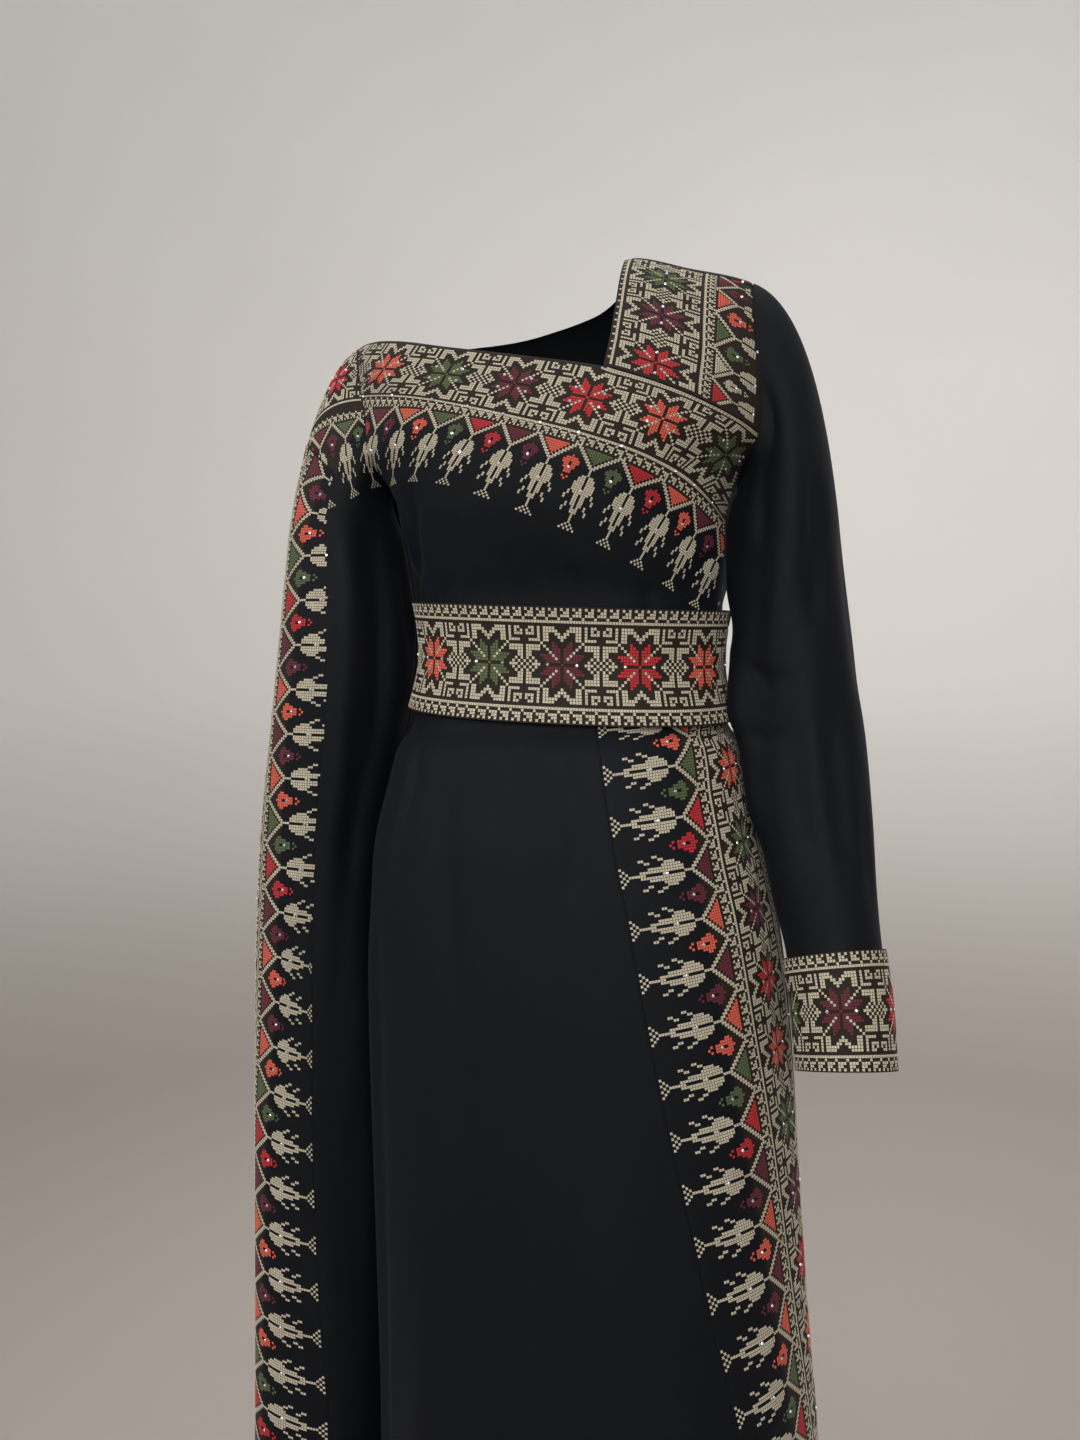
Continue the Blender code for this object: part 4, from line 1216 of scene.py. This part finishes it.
def strap_star_field():
    (along, away), cells = counted(-26, 71, -16, 15)
    v = curve(STRAP_STARS, 1, along)
    outer = curve(STRAP_OUTER, 1, v)
    corners, normals, inside = on_strap(STRAP_INNER + (outer - STRAP_INNER) * (away + 14.0) / 28.0, v)
    cells = star_cells(*cells, (GREEN, MAROON, RED, ORANGE))
    return corners, normals, np.where(inside, cells, NONE), (-26, -16)


def strap_tree_field():
    (column, row), cells = counted(16, 39, -18, 87, shift=0.0)
    v = curve(STRAP_TREES, 1, row / TREE_EVERY)
    line, point = curves(STRAP_OUTER, v)
    corners, normals, inside = on_strap(line + (point - line) * (LINE - column) / (LINE - TIP), v)
    cells = tree_cells(*cells, (MAROON, ORANGE, GREEN, CREAM, RED))
    return corners, normals, np.where(inside, cells, NONE), (16, -18)


# Where thread hides the cloth
CHEST_LINE = metres((  # x, z of the line between the chest's trees and stars
    (-210, -65), (-167.7, -84.9), (-106, -107.3), (2.8, -139), (98.6, -170), (152, -199), (180, -250)))


def chest_cover(u, v, base):
    return step((base[..., 2] - curve(CHEST_LINE, 1, base[..., 0]) + 0.022) / 0.006)


def strip_cover(u, v, base):
    start, end = CAPE_STRIP_BACK + SEAM_TURN, strip_seam(v * STRIP_TOP) - SEAM_TURN
    return step((curve(STRIP_VERTEX, 1, strip_z(v * STRIP_TOP)) - 2.0 - start - (end - start) * u) / 5.0)


def head_cover(u, v, base):
    return np.where(u < 0.02, step((v - STRIP_TOP + 0.002) / 0.01), 0.0)


def panel_cover(u, v, base):
    across = u * SIDE_PANEL_WIDTH
    return step((across - 0.062) / 0.006) * (1.0 - step((across - 0.166) / 0.004))


def all_cover(u, v, base):
    return np.ones(base.shape[:-1])


def below_head(u, u_next, v_next):
    return (u_next <= 1e-9) & (v_next <= STRIP_TOP + 1e-9)


# Cloth
def merged(*parts):
    return np.unique(np.concatenate(parts))


ROUND = np.linspace(0.0, 1.0, 73)
FRONT_ROWS = merged(np.linspace(0.0, 1.0, 68), 1.0 - np.array((0.003, 0.006, 0.011)))
SKIRT_ROWS = merged(np.linspace(0.0, 1.0, 181), np.array((18.0, 20.5, 22.0, 23.5, 26.0)) / 1069.0)
STRIP_ROWS = merged(np.linspace(0.0, STRIP_TOP, 200), np.array((15.0, 17.0, 18.4, 19.8, 22.0)) / 1439.0)
HEAD_ROWS = merged(STRIP_ROWS, np.linspace(STRIP_TOP, 1.0, 26))
HEAD_COLUMNS = merged(shares(24, 0.12, -1.0, 0.0), shares(20, 0.10))

# Seams: axis of the grid, its start or end, share of the allowance
SIDES = ((0, 0, 1.0), (0, 1, 1.0))
WAIST = ((1, 0, 1.0),)
TOP = ((1, 1, 1.0),)


def sewn_beyond(x):
    """A top edge that is free along the neck and sewn beyond x."""
    return ((1, 1, lambda edge: NECK_EDGE + (1.0 - NECK_EDGE) * step((edge[..., 0] - x) / 0.004)),)


SHEETS = (  # node, form, columns, rows, creases, the rest
    ("bodice_front", bodice_front_point, shares(88, 0.40), FRONT_ROWS, bodice_lines,
     {"stitched": chest_cover, "seams": SIDES + WAIST + sewn_beyond(NECK_CORNER_X)}),
    ("shoulder_strap", strap_point, shares(34, 0.13), shares(34, 0.15), (),
     {"stitched": all_cover, "seams": SIDES[1:] + WAIST + TOP}),
    ("bodice_back", bodice_back_point, shares(84, 0.40), shares(84, 0.40), bodice_lines,
     {"seams": SIDES + WAIST + sewn_beyond(SHOULDER_POINT_X)}),
    ("belt", belt_point, np.linspace(0.0, 1.0, 181), shares(20, 0.095), belt_lines,
     {"stitched": all_cover, "closed": True}),
    ("skirt_front", skirt_front_point, shares(64, 0.36), SKIRT_ROWS, skirt_lines,
     {"hem": True, "seams": SIDES}),
    ("skirt_side_panel", skirt_side_point, shares(44, 0.20), SKIRT_ROWS, skirt_lines,
     {"stitched": panel_cover, "hem": True, "seams": SIDES}),
    ("skirt_back", skirt_back_point, shares(96, 0.50), SKIRT_ROWS, skirt_lines,
     {"hem": True, "seams": SIDES}),
    ("sleeve_left", sleeve_point, ROUND, shares(96, 0.48), sleeve_lines, {"closed": True, "seams": TOP}),
    ("cuff_left", cuff_point, ROUND, shares(20, 0.092), (), {"stitched": all_cover, "closed": True}),
    ("cape_strip", cape_strip_point, shares(38, 0.15), STRIP_ROWS / STRIP_TOP, cape_lines,
     {"stitched": strip_cover, "hem": True, "seams": SIDES + TOP}),
    ("cape_front", cape_front_point, HEAD_COLUMNS, HEAD_ROWS, cape_lines,
     {"stitched": head_cover, "hem": True, "left_out": below_head, "seams": SIDES + TOP}),
    ("cape_back", cape_back_point, shares(44, 0.21), HEAD_ROWS, cape_lines,
     {"hem": True, "seams": SIDES + TOP}),
)
pieces = {node: cloth(node, *form, **rest) for node, *form, rest in SHEETS}

# Embroidery
FIELDS = {
    "belt": (belt_field(),),
    "cuff_left": (cuff_field(),),
    "skirt_side_panel": (panel_field(),),
    "cape_strip": (strip_field(),),
    "bodice_front": (chest_star_field(), chest_tree_field()),
    "cape_front": (head_star_field(), head_tree_field()),
    "shoulder_strap": (strap_star_field(), strap_tree_field()),
}
sewn = {node: [stitch(node + "_stitches", fields)] for node, fields in FIELDS.items()}


# Stones: on the stars' petals, and one on each tree and each flower
def spot_on(field, across, along):
    """Point and normal at a place counted in stitches, if there is thread round it."""
    corners, normals, threads, first = field
    i, j = across - first[0], along - first[1]
    if not (0 <= i < corners.shape[0] - 1 and 0 <= j < corners.shape[1] - 1):
        return None
    a, b = int(i), int(j)
    if (threads[max(a - 3, 0):a + 4, max(b - 3, 0):b + 4] >= 0).sum() <= 5:
        return None
    s, t = i - a, j - b
    low, high = (corners[a, k] * (1 - s) + corners[a + 1, k] * s for k in (b, b + 1))
    return low * (1 - t) + high * t + normals[a, b] * STONE_LIFT, normals[a, b]


def star_marks(first, count, rows):
    return [(STAR_EVERY * k + side * 5 + 0.5, row + 0.5)
            for k in range(first, first + count) for side in (-1, 1) for row in rows]


def upright_marks(end, star_row):
    """Stars that follow each other down a panel."""
    return [(STAR_COLUMN + side * 5 + 0.5, star_row + STAR_EVERY * k + 0.5)
            for k in range(-2, end) for side in (-1, 1)]


def tree_marks(first, count):
    return [(column, TREE_EVERY * k + row)
            for column, row in ((24.5, 9.5), (16.5, 0.5)) for k in range(first, first + count)]


MARKS = {  # a list for each of the piece's fields
    "belt": (star_marks(-7, 13, (0,)),),
    "cuff_left": (star_marks(-2, 5, (0,)),),
    "skirt_side_panel": (tree_marks(-3, 30) + upright_marks(19, 5),),
    "cape_strip": (tree_marks(-3, 34) + upright_marks(20, 4),),
    "bodice_front": (star_marks(-1, 8, (-3, 3)) + [(13.5 * k, 14.5) for k in range(-1, 14)],
                     tree_marks(-2, 13)),
    "cape_front": (star_marks(-2, 4, (-3, 3)), tree_marks(-2, 4)),
    "shoulder_strap": (star_marks(-1, 4, (0,)), tree_marks(-1, 6)),
}
for node, lists in MARKS.items():
    spots = [spot_on(field, *mark) for field, marks in zip(FIELDS[node], lists) for mark in marks]
    sewn[node].append(set_stones(node + "_stones", [spot for spot in spots if spot is not None]))


# Studio
FLOOR_SIDES = 96


def studio():
    """A pale floor that turns up into a round wall, far from the dress, its colour painted darker towards the
    floor as shade.
    """
    bend = [0.5 * math.pi * k / 12.0 for k in range(1, 13)]
    profile = [(0.02 + 0.248 * k, 0.0) for k in range(11)]
    profile += [(2.5 + 0.9 * math.sin(turn), 0.9 - 0.9 * math.cos(turn)) for turn in bend]
    profile += [(3.4, 0.9 + 0.4 * k) for k in range(1, 12)]
    around_it = [math.tau * k / FLOOR_SIDES for k in range(FLOOR_SIDES)]
    points = [(radius * math.cos(turn), radius * math.sin(turn), HEM_Z - 0.012 + height)
              for radius, height in profile for turn in around_it]
    faces = [tuple(reversed(range(FLOOR_SIDES)))]
    for ring in range(0, len(points) - FLOOR_SIDES, FLOOR_SIDES):
        for k in range(FLOOR_SIDES):
            i, j = ring + k, ring + (k + 1) % FLOOR_SIDES
            faces.append((i, j, j + FLOOR_SIDES, i + FLOOR_SIDES))
    plain = Finish("pale_wall", Roughness=0.92, Specular_IOR_Level=0.1)
    # Painted shade: the floor and the foot of the wall are coloured darker, blending up into the pale wall
    # tone.
    height = plain.node("SeparateXYZ", {}, {"Vector": plain.at}, 2)
    share = plain.node("MapRange", {"interpolation_type": "SMOOTHSTEP"},
                       {"Value": height, "From Min": HEM_Z - 0.10, "From Max": HEM_Z + 1.25})
    wall = plain.mix(plain.noise(1.3, 2.0), linear(222, 219, 215), linear(228, 225, 222))
    plain.set("Base Color", plain.mix(share, linear(158, 151, 144), wall))
    built("studio_floor", points, faces, [plain.material])


def lamp(name, place, target, size, power, colour, spread):
    data = bpy.data.lights.new(name, "AREA")
    data.shape = "DISK"
    data.size = size
    data.energy = power
    data.color = colour
    data.spread = math.radians(spread)
    made = added(name, data)
    made.location = place
    x, y, z = (target[k] - place[k] for k in range(3))
    made.rotation_euler = (math.atan2(math.hypot(x, y), -z), 0.0, math.atan2(x, -y) + math.pi)
    made.visible_camera = False


studio()
lamp("key_light", (0.2, -2.6, 0.6), (0.0, 0.0, -0.5), 1.9, 9.0, (1.0, 0.985, 0.965), 70.0)
lamp("left_light", (-2.0, -1.6, 0.4), (0.0, 0.0, -0.6), 1.6, 7.0, (0.98, 0.99, 1.0), 90.0)
lamp("right_light", (1.2, -2.3, 0.0), (-0.1, 0.0, -0.6), 1.6, 3.2, (0.97, 0.985, 1.0), 90.0)
lamp("top_light", (0.2, -0.2, 2.2), (0.0, 0.0, -0.6), 2.0, 2.0, (1.0, 1.0, 1.0), 90.0)
lamp("back_light", (-0.9, 2.5, -0.3), (0.0, 0.0, -0.6), 1.4, 5.0, (1.0, 0.99, 0.98), 60.0)
lamp("wall_light", (0.3, 0.7, 1.3), (0.2, 3.4, -0.5), 2.0, 21.0, (1.0, 0.99, 0.975), 150.0)

world = bpy.data.worlds.new("studio_world")
world.use_nodes = True
world.node_tree.nodes["Background"].inputs["Color"].default_value = (0.92, 0.93, 0.95, 1.0)
world.node_tree.nodes["Background"].inputs["Strength"].default_value = 1.15
bpy.context.scene.world = world
bpy.context.scene.view_settings.view_transform = "Standard"

# Camera: level, 13 degrees to the wearer's left
view = bpy.data.cameras.new("camera")
view.sensor_fit = "VERTICAL"
view.sensor_height = 36.0
view.lens = 28.1
view.clip_start = 0.05
camera = added("camera", view)
camera.location = (0.2226, -0.9954, -0.38)
camera.rotation_euler = (math.radians(90.0), 0.0, math.radians(13.0))
bpy.context.scene.camera = camera
